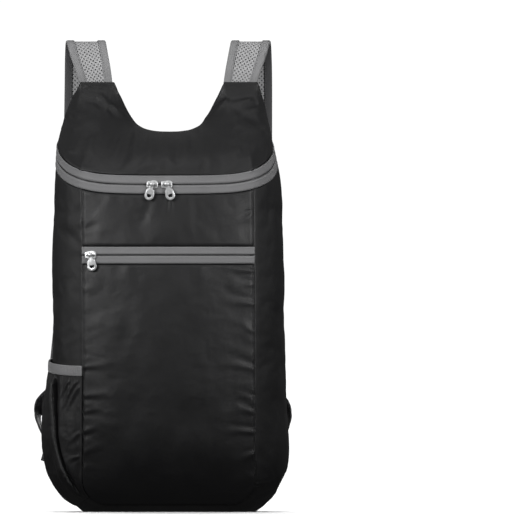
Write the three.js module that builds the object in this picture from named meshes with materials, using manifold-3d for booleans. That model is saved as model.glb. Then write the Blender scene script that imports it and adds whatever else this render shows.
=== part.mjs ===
// A packable backpack of thin black cloth, standing filled on its own flat bottom.
// Millimetres. The front faces -Y, +Z is up, and left and right are as seen from the front, -X and +X.
// The origin is the middle of the bottom, on the surface that the bag stands on.
import * as THREE from 'three';
import { mergeVertices } from 'three/addons/utils/BufferGeometryUtils.js';
import Module from 'manifold-3d';

const wasm = await Module();
wasm.setup();

// Cloth and the room between two pieces that touch, side by side or edge against face
const CLOTH_WALL = 2;
const GAP = 0.3;
const BUTT_GAP = 0.5;

// Body: the front panel, the back panel and the band of cloth between their seams
const PANEL_WIDTH = 190;
const BACK_WIDTH = 236;
const BODY_DEPTH = 122;
const FRONT_FULLNESS = 9;
const BACK_FULLNESS = 6;
const GUSSET_FULLNESS = 21;
const SEAM_LIFT = 8;
const PANEL_CORNER = 28;
const BACK_CORNER = 42;
const BOTTOM_FULL = 0.88;
const CORNER_TUCK = 0.28;

// Top: the main zip, the neck and the two horns that carry the shoulder straps
const ZIP_HEIGHT = 360;
const ZIP_RISE = 42;
const ZIP_WIDTH = 20;
const NECK_HEIGHT = 419;
const HORN_HEIGHT = 472;
const LEAN = 5;

// Zips
const TAPE_WALL = 1.2;
const TAPE_SPLIT = 0.5;
const COIL_WIDTH = 5;
const COIL_WALL = 1.4;
const POCKET_ZIP_HEIGHT = 282.5;
const POCKET_ZIP_WIDTH = 18.5;
const POCKET_COIL_SETBACK = 6;

// Sliders and pullers
const SLIDER_LENGTH = 12;
const SLIDER_WIDTH = 9;
const SLIDER_WALL = 2.2;
const SLIDER_SEAT = 0.4;
const BRIDGE_SPAN = 8.6;
const BRIDGE_BAR = 1.8;
const EYE_CLEARANCE = 0.35;
const EYE_WALL = 1.3;
const EYE_LENGTH = 3.6;
const PULLER_LENGTH = 18;
const PULLER_WIDTH = 10.5;
const PULLER_NECK = 4.6;
const PULLER_WALL = 1.4;
const PULLER_HOLE = 5;

// Side pocket on the left gusset
const POCKET_HEIGHT = 149;
const POCKET_FULLNESS = 9.5;
const POCKET_WALL = 1.3;
const POCKET_FOOT = 17;
const HEM_HEIGHT = 14;
const HEM_WALL = 2.6;
const HEM_SLOPE = 12;
const POCKET_MARGIN = 0.03;
const POCKET_SEAT = 0.7;

// Shoulder straps, their webbing and the ladder locks
const STRAP_WIDTH = 43;
const STRAP_WALL = 3.4;
const STRAP_LOOP = 46;
const STRAP_DROP = 311;
const STRAP_STANDOFF = 48;
const BINDING_WIDTH = 8.5;
const BINDING_WALL = 1;
const WEBBING_WIDTH = 20;
const WEBBING_WALL = 1.6;
const TAIL_LENGTH = 84;
const LOCK_HEIGHT = 22;
const LOCK_RAIL = 4.8;
const LOCK_WALL = 4.4;
const LOCK_SIDE = 3.4;

// How finely each sheet and strip is divided, across and along
const FRONT_GRID = { columns: 16, pocketRows: 12, upperRows: 4 };
const BAND_GRID = { columns: 8, sideRows: 15, bottomRows: 8 };
const LID_ROWS = 8;
const MAIN_ZIP_COLUMNS = 44;
const POCKET_ZIP_COLUMNS = 14;
const POCKET_COLUMNS = 14;
const STRAP_STEPS = 26;
const WEBBING_STEPS = 18;
const TAIL_STEPS = 9;

const HALF_PANEL = PANEL_WIDTH / 2;
const HALF_BACK = BACK_WIDTH / 2;
const HALF_DEPTH = BODY_DEPTH / 2;
const HALF_ZIP = ZIP_WIDTH / 2;

// The body's shape up its height. up is a share of ZIP_HEIGHT. front and back are the seams' distances
// from the middle, as shares of HALF_DEPTH. edge is the back seam's half width as a share of HALF_BACK.
// full is a share of GUSSET_FULLNESS, crown of the two panels' fullness, and lean of LEAN, towards -X.
const BODY = [
  { up: 0.022, front: 0.77, back: 0.9, edge: 1.0, full: 0.6, crown: 0, lean: 0 },
  { up: 0.06, front: 0.86, back: 0.94, edge: 1.0, full: 0.85, crown: 0.3, lean: 0 },
  { up: 0.12, front: 0.93, back: 0.975, edge: 1.0, full: 1.05, crown: 0.7, lean: 0 },
  { up: 0.2, front: 0.97, back: 1.0, edge: 1.0, full: 1.12, crown: 1.0, lean: 0 },
  { up: 0.3, front: 0.97, back: 1.0, edge: 1.0, full: 1.03, crown: 1.05, lean: 0 },
  { up: 0.42, front: 0.95, back: 1.0, edge: 1.0, full: 0.97, crown: 1.0, lean: 0 },
  { up: 0.6, front: 0.89, back: 1.0, edge: 1.0, full: 0.95, crown: 0.95, lean: 0.05 },
  { up: 0.78, front: 0.8, back: 0.98, edge: 1.0, full: 0.92, crown: 0.92, lean: 0.15 },
  { up: 0.92, front: 0.72, back: 0.96, edge: 0.995, full: 0.86, crown: 0.86, lean: 0.25 },
  { up: 1.0, front: 0.69, back: 0.94, edge: 0.99, full: 0.8, crown: 0.8, lean: 0.35 },
  { up: 1.07, front: 0.66, back: 0.93, edge: 0.985, full: 0.68, crown: 0.68, lean: 0.6 },
  { up: 1.15, front: 0.64, back: 0.93, edge: 0.98, full: 0.5, crown: 0.5, lean: 1 },
  { up: 1.21, front: 0.64, back: 0.93, edge: 0.98, full: 0.5, crown: 0.5, lean: 0.9 },
  { up: 1.26, front: 0.64, back: 0.93, edge: 0.98, full: 0.5, crown: 0.5, lean: 0.5 },
  { up: 1.32, front: 0.64, back: 0.93, edge: 0.98, full: 0.5, crown: 0.5, lean: 0 },
];

// The main zip's line from the middle of the front to the back seam. round is 0 to 1 across the front
// panel and 1 to 2 across the gusset. rise is a share of ZIP_RISE.
const ZIP_LINE = [
  { round: 0, rise: 0 },
  { round: 0.5, rise: 0.01 },
  { round: 0.8, rise: 0.05 },
  { round: 1, rise: 0.14 },
  { round: 1.2, rise: 0.3 },
  { round: 1.4, rise: 0.5 },
  { round: 1.6, rise: 0.7 },
  { round: 1.8, rise: 0.87 },
  { round: 2, rise: 1 },
];

// The lid's back edge from the middle of the neck over the horn to the zip's end. across is a share of
// HALF_BACK. up is a share of the rise to HORN_HEIGHT, from NECK_HEIGHT or on the last slope from the zip's
// end. round is the zip's place below it. goBack and goUp bend the lid's start, endBack and endUp its end.
const LID_EDGE = [
  { across: 0, up: 0, round: 0, goBack: 0.1, goUp: 0.6, endBack: 0.5, endUp: 0.02 },
  { across: 0.1, up: 0.008, round: 0.16, goBack: 0.1, goUp: 0.6, endBack: 0.5, endUp: 0.02 },
  { across: 0.2, up: 0.045, round: 0.32, goBack: 0.1, goUp: 0.57, endBack: 0.46, endUp: 0.05 },
  { across: 0.29, up: 0.14, round: 0.46, goBack: 0.12, goUp: 0.5, endBack: 0.38, endUp: 0.12 },
  { across: 0.365, up: 0.36, round: 0.6, goBack: 0.14, goUp: 0.42, endBack: 0.28, endUp: 0.25 },
  { across: 0.44, up: 0.68, round: 0.74, goBack: 0.15, goUp: 0.36, endBack: 0.2, endUp: 0.38 },
  { across: 0.515, up: 1, round: 0.86, goBack: 0.15, goUp: 0.32, endBack: 0.15, endUp: 0.45 },
  { across: 0.62, up: 1, round: 0.97, goBack: 0.15, goUp: 0.32, endBack: 0.15, endUp: 0.45 },
  { across: 0.73, up: 1, round: 1.12, goBack: 0.15, goUp: 0.34, endBack: 0.16, endUp: 0.43 },
  { across: 0.83, up: 1, round: 1.27, goBack: 0.16, goUp: 0.36, endBack: 0.18, endUp: 0.4 },
  { across: 0.885, up: 0.77, round: 1.45, goBack: 0.18, goUp: 0.38, endBack: 0.22, endUp: 0.36 },
  { across: 0.935, up: 0.48, round: 1.64, goBack: 0.2, goUp: 0.4, endBack: 0.26, endUp: 0.34 },
  { across: 0.965, up: 0.2, round: 1.82, goBack: 0.25, goUp: 0.36, endBack: 0.3, endUp: 0.33 },
  { across: 0.98, up: 0.04, round: 2, goBack: 0.3, goUp: 0.33, endBack: 0.33, endUp: 0.33 },
];

// The horn's outer corner, where the last slope starts
const HORN_CORNER = 0.83;

// How far the side pocket stands off the gusset. round is 0 at the front seam and 1 at the back seam.
// loose is a share of POCKET_FULLNESS, with a deep crease between the two swells.
const POCKET_SWELL = [
  { round: 0, loose: 0 },
  { round: 0.1, loose: 0.18 },
  { round: 0.22, loose: 0.3 },
  { round: 0.34, loose: 0.28 },
  { round: 0.42, loose: 0.62 },
  { round: 0.56, loose: 1 },
  { round: 0.74, loose: 0.9 },
  { round: 0.9, loose: 0.42 },
  { round: 1, loose: 0 },
];
// The same up the pocket, from its foot at 0 to the hem's lower edge at 1. Past 1 is the hem.
const POCKET_RISE = [
  { up: 0, loose: 0.04 },
  { up: 0.03, loose: 0.1 },
  { up: 0.07, loose: 0.19 },
  { up: 0.12, loose: 0.3 },
  { up: 0.19, loose: 0.48 },
  { up: 0.28, loose: 0.7 },
  { up: 0.4, loose: 0.9 },
  { up: 0.53, loose: 1 },
  { up: 0.68, loose: 0.98 },
  { up: 0.8, loose: 0.86 },
  { up: 0.9, loose: 0.74 },
  { up: 1, loose: 0.64 },
  { up: 1.12, loose: 0.62 },
];

// A shoulder strap from the horn over its loop and down behind the back. up is a share of STRAP_LOOP above
// the horn and of STRAP_DROP below it, back of STRAP_STANDOFF behind the back panel, left and right of
// HALF_BACK on the bag's two sides, wide of STRAP_WIDTH.
const STRAP_ROUTE = [
  { up: 0, back: 0, left: 0.685, right: 0.66, wide: 0.84 },
  { up: 0.37, back: 0.01, left: 0.717, right: 0.695, wide: 0.9 },
  { up: 0.7, back: 0.13, left: 0.752, right: 0.73, wide: 0.96 },
  { up: 0.935, back: 0.34, left: 0.775, right: 0.755, wide: 0.99 },
  { up: 0.935, back: 0.64, left: 0.79, right: 0.768, wide: 1 },
  { up: 0.6, back: 0.86, left: 0.797, right: 0.776, wide: 1 },
  { up: 0.06, back: 0.97, left: 0.8, right: 0.78, wide: 1 },
  { up: -0.12, back: 1, left: 0.805, right: 0.78, wide: 1 },
  { up: -0.3, back: 0.98, left: 0.815, right: 0.78, wide: 1 },
  { up: -0.5, back: 0.9, left: 0.832, right: 0.785, wide: 1 },
  { up: -0.68, back: 0.77, left: 0.86, right: 0.795, wide: 1 },
  { up: -0.85, back: 0.63, left: 0.9, right: 0.81, wide: 1 },
  { up: -1, back: 0.5, left: 0.945, right: 0.83, wide: 0.96 },
];

// The webbing from the ladder lock down to the bottom corner. down is a share of the way from the lock to
// the corner. turn is 0 where it lies flat across the back and 1 where it stands edge on.
const WEBBING_ROUTE = [
  { down: 0, back: 0.45, left: 0.975, right: 0.85, turn: 0 },
  { down: 0.12, back: 0.43, left: 1.05, right: 0.91, turn: 0.1 },
  { down: 0.23, back: 0.4, left: 1.14, right: 0.99, turn: 0.4 },
  { down: 0.36, back: 0.36, left: 1.21, right: 1.07, turn: 0.8 },
  { down: 0.5, back: 0.31, left: 1.22, right: 1.085, turn: 0.9 },
  { down: 0.66, back: 0.26, left: 1.165, right: 1.055, turn: 0.85 },
  { down: 0.82, back: 0.22, left: 1.07, right: 1.01, turn: 0.6 },
  { down: 1, back: 0.168, left: 0.95, right: 0.935, turn: 0.1 },
];

// The webbing's free tail. down is a share of TAIL_LENGTH below the ladder lock.
const TAIL_ROUTE = [
  { down: 0, back: 0.56, left: 0.975, right: 0.85, turn: 0 },
  { down: 0.14, back: 0.68, left: 0.985, right: 0.852, turn: 0 },
  { down: 0.4, back: 0.82, left: 1.01, right: 0.862, turn: 0 },
  { down: 0.7, back: 0.79, left: 1.065, right: 0.88, turn: 0 },
  { down: 1, back: 0.66, left: 1.125, right: 0.9, turn: 0 },
];

// Sliders: their place across the front and how far each puller hangs out of the vertical, in degrees
const SLIDERS = [
  { name: 'main_left', across: -0.174, zip: 'main', cant: 15 },
  { name: 'main_right', across: -0.007, zip: 'main', cant: -18 },
  { name: 'pocket', across: -0.895, zip: 'pocket', cant: -9 },
];

const COLOURS = {
  cloth: { color: 0x1c1c1e, roughness: 0.62, metalness: 0 },
  tape: { color: 0x6f6f71, roughness: 0.8, metalness: 0 },
  mesh: { color: 0xa0a0a2, roughness: 0.85, metalness: 0 },
  webbing: { color: 0x141416, roughness: 0.75, metalness: 0 },
  metal: { color: 0xb9bbbf, roughness: 0.28, metalness: 1 },
  plastic: { color: 0x18181a, roughness: 0.5, metalness: 0 },
};

const bag = new THREE.Group();

// The back panel's levels, from the bottom seam to 1 at the zip's end and 2 at the neck and the horns
const BACK_LEVELS = [0, 0.005, 0.018, 0.045, 0.1, 0.2, 0.38, 0.6, 0.82, 1, 1.5, 2];

const vec = (x, y, z) => new THREE.Vector3(x, y, z);
const mix = THREE.MathUtils.lerp;

// A column's value at a place along the table's key, on a smooth curve through its rows
function read(table, key, at, column) {
  const last = table.length - 1;
  let i = 0;
  while (i < last - 1 && at > table[i + 1][key]) i += 1;
  const slope = (j) => {
    const a = table[Math.max(j - 1, 0)];
    const b = table[Math.min(j + 1, last)];
    return (b[column] - a[column]) / (b[key] - a[key]);
  };
  const a = table[i];
  const b = table[i + 1];
  const span = b[key] - a[key];
  const t = THREE.MathUtils.clamp((at - a[key]) / span, 0, 1);
  const t2 = t * t;
  const t3 = t2 * t;
  const straight = (2 * t3 - 3 * t2 + 1) * a[column] + (3 * t2 - 2 * t3) * b[column];
  return straight + span * ((t3 - 2 * t2 + t) * slope(i) + (t3 - t2) * slope(i + 1));
}

const bodyAt = (height, column) => read(BODY, 'up', height / ZIP_HEIGHT, column);
const leanAt = (height) => -LEAN * bodyAt(height, 'lean');
const frontSeam = (height) => -HALF_DEPTH * bodyAt(height, 'front');
const backSeam = (height) => HALF_DEPTH * bodyAt(height, 'back');
const backInner = (height) => backSeam(height) - CLOTH_WALL - BUTT_GAP;
const STRAP_ROOT = backSeam(HORN_HEIGHT) - CLOTH_WALL / 2;
const hump = (t) => 4 * t * (1 - t);

function addMesh(name, geometry, finish) {
  const mesh = new THREE.Mesh(geometry, new THREE.MeshStandardMaterial(COLOURS[finish]));
  mesh.name = name;
  bag.add(mesh);
  return mesh;
}

// A closed solid from a grid of points on its outer face and the same grid moved by the wall
function shellGeometry(columns, rows, outer, inner) {
  const positions = [];
  for (const face of [outer, inner]) {
    for (let r = 0; r <= rows; r += 1) {
      for (let c = 0; c <= columns; c += 1) {
        positions.push(...face(c / columns, r / rows).toArray());
      }
    }
  }
  const stride = columns + 1;
  const layer = stride * (rows + 1);
  const index = [];
  const quad = (a, b, c, d) => index.push(a, b, c, a, c, d);
  for (let r = 0; r < rows; r += 1) {
    for (let c = 0; c < columns; c += 1) {
      const a = r * stride + c;
      quad(a, a + 1, a + stride + 1, a + stride);
      quad(layer + a, layer + a + stride, layer + a + stride + 1, layer + a + 1);
    }
  }
  for (let c = 0; c < columns; c += 1) {
    const top = rows * stride + c;
    quad(c + 1, c, layer + c, layer + c + 1);
    quad(top, top + 1, layer + top + 1, layer + top);
  }
  for (let r = 0; r < rows; r += 1) {
    const left = r * stride;
    const right = left + columns;
    quad(left, left + stride, layer + left + stride, layer + left);
    quad(right + stride, right, layer + right, layer + right + stride);
  }
  return closedGeometry(positions, index);
}

// Turns the faces outwards, whichever way round the grid was walked
function closedGeometry(positions, index) {
  const at = (i) => vec(positions[3 * i], positions[3 * i + 1], positions[3 * i + 2]);
  let volume = 0;
  for (let i = 0; i < index.length; i += 3) {
    volume += at(index[i]).dot(at(index[i + 1]).cross(at(index[i + 2])));
  }
  const outward = volume > 0 ? index : index.slice().reverse();
  const geometry = new THREE.BufferGeometry();
  geometry.setAttribute('position', new THREE.Float32BufferAttribute(positions, 3));
  geometry.setIndex(outward);
  return geometry;
}

// The unit normal of a surface at a place on it, on the side that the inward vector points to
function normalOf(surface, u, v, inward) {
  const step = 1e-3;
  const du = surface(Math.min(u + step, 1), v).sub(surface(Math.max(u - step, 0), v));
  const dv = surface(u, Math.min(v + step, 1)).sub(surface(u, Math.max(v - step, 0)));
  const normal = du.cross(dv).normalize();
  return normal.dot(inward) < 0 ? normal.negate() : normal;
}

// The wall at a place: square to the surface, but lying in a plane at an edge that butts on another
// piece. flat names how much of the wall's x, y and z is taken out there, from 0 to 1.
function wallVector(normal, flat, wall) {
  const turned = vec(normal.x * (1 - flat.x), normal.y * (1 - flat.y), normal.z * (1 - flat.z));
  return turned.multiplyScalar(wall / Math.max(turned.dot(normal), 0.25));
}

// A point of the front panel's outer face, which bulges as over a full bag
function frontPoint(x, height) {
  const share = x / HALF_PANEL;
  const full = FRONT_FULLNESS * bodyAt(height, 'crown') * (1 - share * share);
  return vec(x + leanAt(height), frontSeam(height) - full, height);
}

// The gusset's outer face above its bottom corner. side is -1 or 1, t runs from the front seam to the back
function gussetWall(side, height, t, setback) {
  const full = GUSSET_FULLNESS * bodyAt(height, 'full') * hump(t);
  const out = mix(HALF_PANEL, HALF_BACK * bodyAt(height, 'edge'), t) + full;
  return vec(side * out + leanAt(height), mix(frontSeam(height) + setback, backInner(height), t), height);
}

// The main zip's place: round is 0 at the middle of the front, 1 at the panel's seam, 2 at the back seam.
// up is -1 on the zip's lower edge and 1 on its upper edge
const zipCentre = (round) => ZIP_HEIGHT + ZIP_RISE * read(ZIP_LINE, 'round', round, 'rise');
function zipPoint(side, round, up) {
  const slope = (zipCentre(round + 0.02) - zipCentre(round - 0.02)) / (0.04 * (HALF_PANEL + BODY_DEPTH) / 2);
  const height = zipCentre(round) + up * HALF_ZIP * Math.hypot(1, slope);
  if (round <= 1) {
    return frontPoint(side * round * HALF_PANEL, height);
  }
  return gussetWall(side, height, round - 1, 0);
}

// Columns crowded towards both edges of the front panel, where its bottom corners turn
const spread = (u) => HALF_PANEL * Math.sin((u - 0.5) * Math.PI);

// The front panel's bottom edge, with a round corner at each side
function panelFoot(x) {
  const past = Math.max(Math.abs(x) - (HALF_PANEL - PANEL_CORNER), 0);
  const corner = PANEL_CORNER - Math.sqrt(Math.max(PANEL_CORNER * PANEL_CORNER - past * past, 0));
  return SEAM_LIFT + corner;
}

function frontSheet(name, low, high, rows) {
  const face = (setback) => (u, v) => {
    const x = spread(u);
    const p = frontPoint(x, mix(low(x), high(x), v));
    p.y += setback;
    return p;
  };
  addMesh(name, shellGeometry(FRONT_GRID.columns, rows, face(0), face(CLOTH_WALL)), 'cloth');
}

function addFront() {
  const pocketLow = () => POCKET_ZIP_HEIGHT - POCKET_ZIP_WIDTH / 2 - GAP;
  const pocketHigh = () => POCKET_ZIP_HEIGHT + POCKET_ZIP_WIDTH / 2 + GAP;
  const zipLow = (x) => zipPoint(Math.sign(x) || 1, Math.abs(x) / HALF_PANEL, -1).z - GAP;
  frontSheet('front_pocket_panel', panelFoot, pocketLow, FRONT_GRID.pocketRows);
  frontSheet('front_upper_panel', pocketHigh, zipLow, FRONT_GRID.upperRows);
}

// The band's run ends at the middle of the bottom. It is 1 at a side's foot and 2 past the bottom corner
const BAND_RUN = 3;

// A point of the band between the panels, at a run down the side and at a share from front to back
function bandPoint(side, run, t) {
  const cornerTop = SEAM_LIFT + mix(PANEL_CORNER, BACK_CORNER, t);
  if (run <= 1) {
    const top = zipPoint(side, 1 + t, -1).z - GAP;
    return gussetWall(side, mix(top, cornerTop, run), t, CLOTH_WALL + BUTT_GAP);
  }
  const angle = Math.min(run - 1, 1) * Math.PI / 2;
  const along = Math.max(run - 2, 0);
  const seam = (half, radius) => {
    const x = (half - radius + radius * Math.cos(angle)) * (1 - along);
    return vec(x, 0, SEAM_LIFT + radius * (1 - Math.sin(angle)));
  };
  const front = seam(HALF_PANEL, PANEL_CORNER);
  const back = seam(HALF_BACK, BACK_CORNER);
  const p = front.clone().lerp(back, t);
  const full = mix(bodyAt(cornerTop, 'full'), BOTTOM_FULL, Math.sin(angle));
  const reach = (full - CORNER_TUCK * Math.sin(2 * angle)) * GUSSET_FULLNESS * hump(t);
  p.x = side * (p.x + reach * Math.cos(angle));
  p.z = Math.max(p.z - reach * Math.sin(angle), 0);
  p.y = mix(frontSeam(front.z) + CLOTH_WALL + BUTT_GAP, backInner(back.z), t);
  return p;
}

function bandSheet(name, from, to, rows) {
  const point = (u, v) => {
    const along = mix(from, to, v);
    return bandPoint(Math.sign(along), BAND_RUN - Math.abs(along), u);
  };
  const inner = (u, v) => {
    const p = point(u, v);
    const side = Math.sign(mix(from, to, v));
    const inward = p.z > SEAM_LIFT ? vec(-side, 0, 0.4) : vec(0, 0, 1);
    const normal = normalOf(point, u, v, inward);
    const edge = Math.abs(2 * u - 1) ** 4;
    const top = Math.abs(mix(from, to, v)) > BAND_RUN - 1e-6 ? 1 : 0;
    return p.add(wallVector(normal, { x: 0, y: edge, z: top }, CLOTH_WALL));
  };
  addMesh(name, shellGeometry(BAND_GRID.columns, rows, point, inner), 'cloth');
}

function addBand() {
  const cut = 1;
  const slit = GAP / (HALF_PANEL - PANEL_CORNER);
  bandSheet('gusset_left', -BAND_RUN, -cut - slit, BAND_GRID.sideRows);
  bandSheet('bottom_panel', -cut, cut, BAND_GRID.bottomRows);
  bandSheet('gusset_right', cut + slit, BAND_RUN, BAND_GRID.sideRows);
}

// The back edge of the lid and of the back panel above the zip, at a share from the neck to the zip's end
function edgePoint(side, row) {
  const end = zipPoint(side, 2, 1).z + GAP;
  const outside = row.across > HORN_CORNER;
  const height = mix(outside ? end : NECK_HEIGHT, HORN_HEIGHT, row.up);
  const lean = leanAt(height) * row.across ** 2;
  return vec(side * row.across * HALF_BACK + lean, backInner(height), height);
}

// The lid between the zip and the back edge, as a bent strip for each row of LID_EDGE on either side
function lidPoint(column, v) {
  const rows = LID_EDGE.length - 1;
  const signed = mix(-rows, rows, column);
  const side = Math.sign(signed) || 1;
  const row = LID_EDGE[Math.round(Math.abs(signed))];
  const low = zipPoint(side, row.round, 1);
  low.z += GAP;
  const high = edgePoint(side, row);
  const run = high.clone().sub(low);
  const first = low.clone().add(vec(run.x * 0.33, run.y * row.goBack, run.z * row.goUp));
  const second = high.clone().sub(vec(run.x * 0.33, run.y * row.endBack, run.z * row.endUp));
  return new THREE.CubicBezierCurve3(low, first, second, high).getPoint(v);
}

function addLid() {
  const columns = 2 * (LID_EDGE.length - 1);
  const inner = (u, v) => {
    const p = lidPoint(u, v);
    const across = lidPoint(Math.min(u + 1 / columns, 1), v).sub(lidPoint(Math.max(u - 1 / columns, 0), v));
    const up = lidPoint(u, Math.min(v + 0.02, 1)).sub(lidPoint(u, Math.max(v - 0.02, 0)));
    const normal = across.cross(up).normalize();
    if (normal.dot(vec(-Math.sign(p.x) * 0.3, 1, -1)) < 0) normal.negate();
    const onBack = v === 1 || u === 0 || u === 1 ? 1 : 0;
    const onZip = v === 0 ? 1 : 0;
    return p.add(wallVector(normal, { x: 0, y: onBack, z: onZip && !onBack ? 1 : 0 }, CLOTH_WALL));
  };
  addMesh('lid_panel', shellGeometry(columns, LID_ROWS, lidPoint, inner), 'cloth');
}

// The back panel: one sheet from the bottom seam to the neck and the horns
function addBack() {
  const shoulder = zipPoint(1, 2, -1).z;
  const columns = 2 * (LID_EDGE.length - 1);
  const half = (height) => {
    const past = Math.max(SEAM_LIFT + BACK_CORNER - height, 0);
    const corner = BACK_CORNER - Math.sqrt(Math.max(BACK_CORNER * BACK_CORNER - past * past, 0));
    return HALF_BACK * bodyAt(height, 'edge') - corner;
  };
  const face = (setback) => (u, v) => {
    const signed = mix(-columns / 2, columns / 2, u);
    const row = LID_EDGE[Math.round(Math.abs(signed))];
    const share = row.across / LID_EDGE[columns / 2].across;
    const level = BACK_LEVELS[Math.round(v * (BACK_LEVELS.length - 1))];
    const height = mix(SEAM_LIFT, shoulder, Math.min(level, 1));
    const p = vec(Math.sign(signed) * share * half(height) + leanAt(height), 0, height);
    p.lerp(edgePoint(Math.sign(signed) || 1, row), Math.max(level - 1, 0));
    const full = BACK_FULLNESS * bodyAt(height, 'crown') * (1 - share * share) * Math.max(1 - level ** 4, 0);
    p.y = backSeam(p.z) + full - setback;
    return p;
  };
  addMesh('back_panel', shellGeometry(columns, BACK_LEVELS.length - 1, face(0), face(CLOTH_WALL)), 'cloth');
}

// A zip along the front. place gives a point of its outer face at a share of its length and a height of
// -1 to 1 across its tapes, and ends says whether its two ends butt on the back panel.
function addZip(name, place, columns, width, ends, coilCut) {
  const strip = (low, high, from, to, cut) => {
    const face = (depth) => (u, v) => {
      const along = mix(cut, 1 - cut, u);
      const p = place(along, mix(low, high, v));
      const normal = normalOf((a, b) => place(a, mix(low, high, b)), along, v, vec(-p.x * 0.01, 1, 0));
      const butt = ends && (u === 0 || u === 1) ? 1 : 0;
      return p.add(wallVector(normal, { x: 0, y: butt, z: 1 }, depth));
    };
    return shellGeometry(columns, 1, face(from), face(to));
  };
  const split = TAPE_SPLIT / width;
  const coil = COIL_WIDTH / width;
  const behind = TAPE_WALL + GAP;
  addMesh(`${name}_upper_tape`, strip(split, 1, 0, TAPE_WALL, 0), 'tape');
  addMesh(`${name}_lower_tape`, strip(-1, -split, 0, TAPE_WALL, 0), 'tape');
  addMesh(`${name}_coil`, strip(-coil, coil, behind, behind + COIL_WALL, coilCut), 'tape');
}

const mainZipPlace = (along, up) => {
  const signed = mix(-2, 2, along);
  return zipPoint(Math.sign(signed) || 1, Math.abs(signed), up);
};
const pocketZipPlace = (along, up) => {
  const x = mix(-HALF_PANEL, HALF_PANEL, along);
  return frontPoint(x, POCKET_ZIP_HEIGHT + up * POCKET_ZIP_WIDTH / 2);
};

function addZips() {
  addZip('main_zip', mainZipPlace, MAIN_ZIP_COLUMNS, ZIP_WIDTH, true, 0);
  const coilCut = POCKET_COIL_SETBACK / PANEL_WIDTH;
  addZip('pocket_zip', pocketZipPlace, POCKET_ZIP_COLUMNS, POCKET_ZIP_WIDTH, false, coilCut);
}

// One solid from several closed geometries that overlap
function joined(geometries) {
  const solids = geometries.map((geometry) => {
    const bare = new THREE.BufferGeometry();
    bare.setAttribute('position', geometry.getAttribute('position').clone());
    if (geometry.index) bare.setIndex(geometry.index.clone());
    const merged = mergeVertices(bare, 1e-4);
    return new wasm.Manifold(new wasm.Mesh({
      numProp: 3,
      vertProperties: new Float32Array(merged.getAttribute('position').array),
      triVerts: new Uint32Array(merged.index.array),
    }));
  });
  const whole = solids.reduce((a, b) => a.add(b)).getMesh();
  const geometry = new THREE.BufferGeometry();
  geometry.setAttribute('position', new THREE.BufferAttribute(new Float32Array(whole.vertProperties), 3));
  geometry.setIndex(new THREE.BufferAttribute(new Uint32Array(whole.triVerts), 1));
  return geometry;
}

// A flat plate whose outline is drawn in X and Z, its thickness from y = near outwards to -Y
function plateGeometry(shape, near, wall, curveSegments) {
  const plate = new THREE.ExtrudeGeometry(shape, { depth: wall, bevelEnabled: false, curveSegments });
  return plate.rotateX(Math.PI / 2).translate(0, -near, 0);
}

const EYE_RADIUS = BRIDGE_BAR / 2 + EYE_CLEARANCE + EYE_WALL;
const BAR_OUT = SLIDER_WALL + EYE_RADIUS + GAP;

// A slider's plate with its arched bridge, on the zip at y = 0
function sliderGeometry() {
  const half = SLIDER_LENGTH / 2;
  const tail = SLIDER_WIDTH * 0.34;
  const nose = SLIDER_WIDTH / 2;
  const shape = new THREE.Shape();
  shape.moveTo(-half, -tail);
  shape.lineTo(half * 0.2, -nose);
  shape.quadraticCurveTo(half, -nose, half, -tail * 0.6);
  shape.lineTo(half, tail * 0.6);
  shape.quadraticCurveTo(half, nose, half * 0.2, nose);
  shape.lineTo(-half, tail);
  shape.closePath();
  const foot = BRIDGE_SPAN / 2;
  const sunk = SLIDER_WALL * 0.5;
  const path = new THREE.CatmullRomCurve3([
    vec(-foot, -sunk, 0),
    vec(-foot * 0.94, -BAR_OUT * 0.78, 0),
    vec(-foot * 0.62, -BAR_OUT, 0),
    vec(0, -BAR_OUT, 0),
    vec(foot * 0.62, -BAR_OUT, 0),
    vec(foot * 0.94, -BAR_OUT * 0.78, 0),
    vec(foot, -sunk, 0),
  ]);
  const bar = new THREE.Shape().absarc(0, 0, BRIDGE_BAR / 2, 0, Math.PI * 2);
  const bridge = new THREE.ExtrudeGeometry(bar, { steps: 14, extrudePath: path, curveSegments: 4 });
  return joined([plateGeometry(shape, 0, SLIDER_WALL, 3), bridge]);
}

// A puller hanging from the middle of the bridge's bar: an eye round the bar and a plate with a hole
function pullerGeometry(cant) {
  const inner = BRIDGE_BAR / 2 + EYE_CLEARANCE;
  const ring = new THREE.Shape().absarc(0, 0, EYE_RADIUS, 0, Math.PI * 2);
  ring.holes.push(new THREE.Path().absarc(0, 0, inner, 0, Math.PI * 2, true));
  const eye = new THREE.ExtrudeGeometry(ring, { depth: EYE_LENGTH, bevelEnabled: false, curveSegments: 7 });
  eye.rotateY(Math.PI / 2).translate(-EYE_LENGTH / 2, 0, 0);
  const top = -(inner + EYE_WALL * 0.4);
  const half = PULLER_WIDTH / 2;
  const neck = PULLER_NECK / 2;
  const middle = -(PULLER_LENGTH - half);
  const shape = new THREE.Shape();
  shape.moveTo(-neck * 0.7, top);
  shape.lineTo(-neck, -PULLER_LENGTH * 0.3);
  shape.lineTo(-half * 0.8, -PULLER_LENGTH * 0.36);
  shape.lineTo(-half, middle);
  shape.absarc(0, middle, half, Math.PI, Math.PI * 2);
  shape.lineTo(half * 0.8, -PULLER_LENGTH * 0.36);
  shape.lineTo(neck, -PULLER_LENGTH * 0.3);
  shape.lineTo(neck * 0.7, top);
  shape.closePath();
  const hole = new THREE.Path();
  hole.moveTo(-PULLER_HOLE / 2, middle + PULLER_HOLE * 0.25);
  hole.lineTo(PULLER_HOLE / 2, middle + PULLER_HOLE * 0.25);
  hole.absarc(0, middle, PULLER_HOLE / 2, 0, Math.PI, true);
  shape.holes.push(hole);
  const plate = plateGeometry(shape, -PULLER_WALL / 2, PULLER_WALL, 5);
  plate.rotateY(THREE.MathUtils.degToRad(cant));
  return joined([eye, plate]);
}

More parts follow.
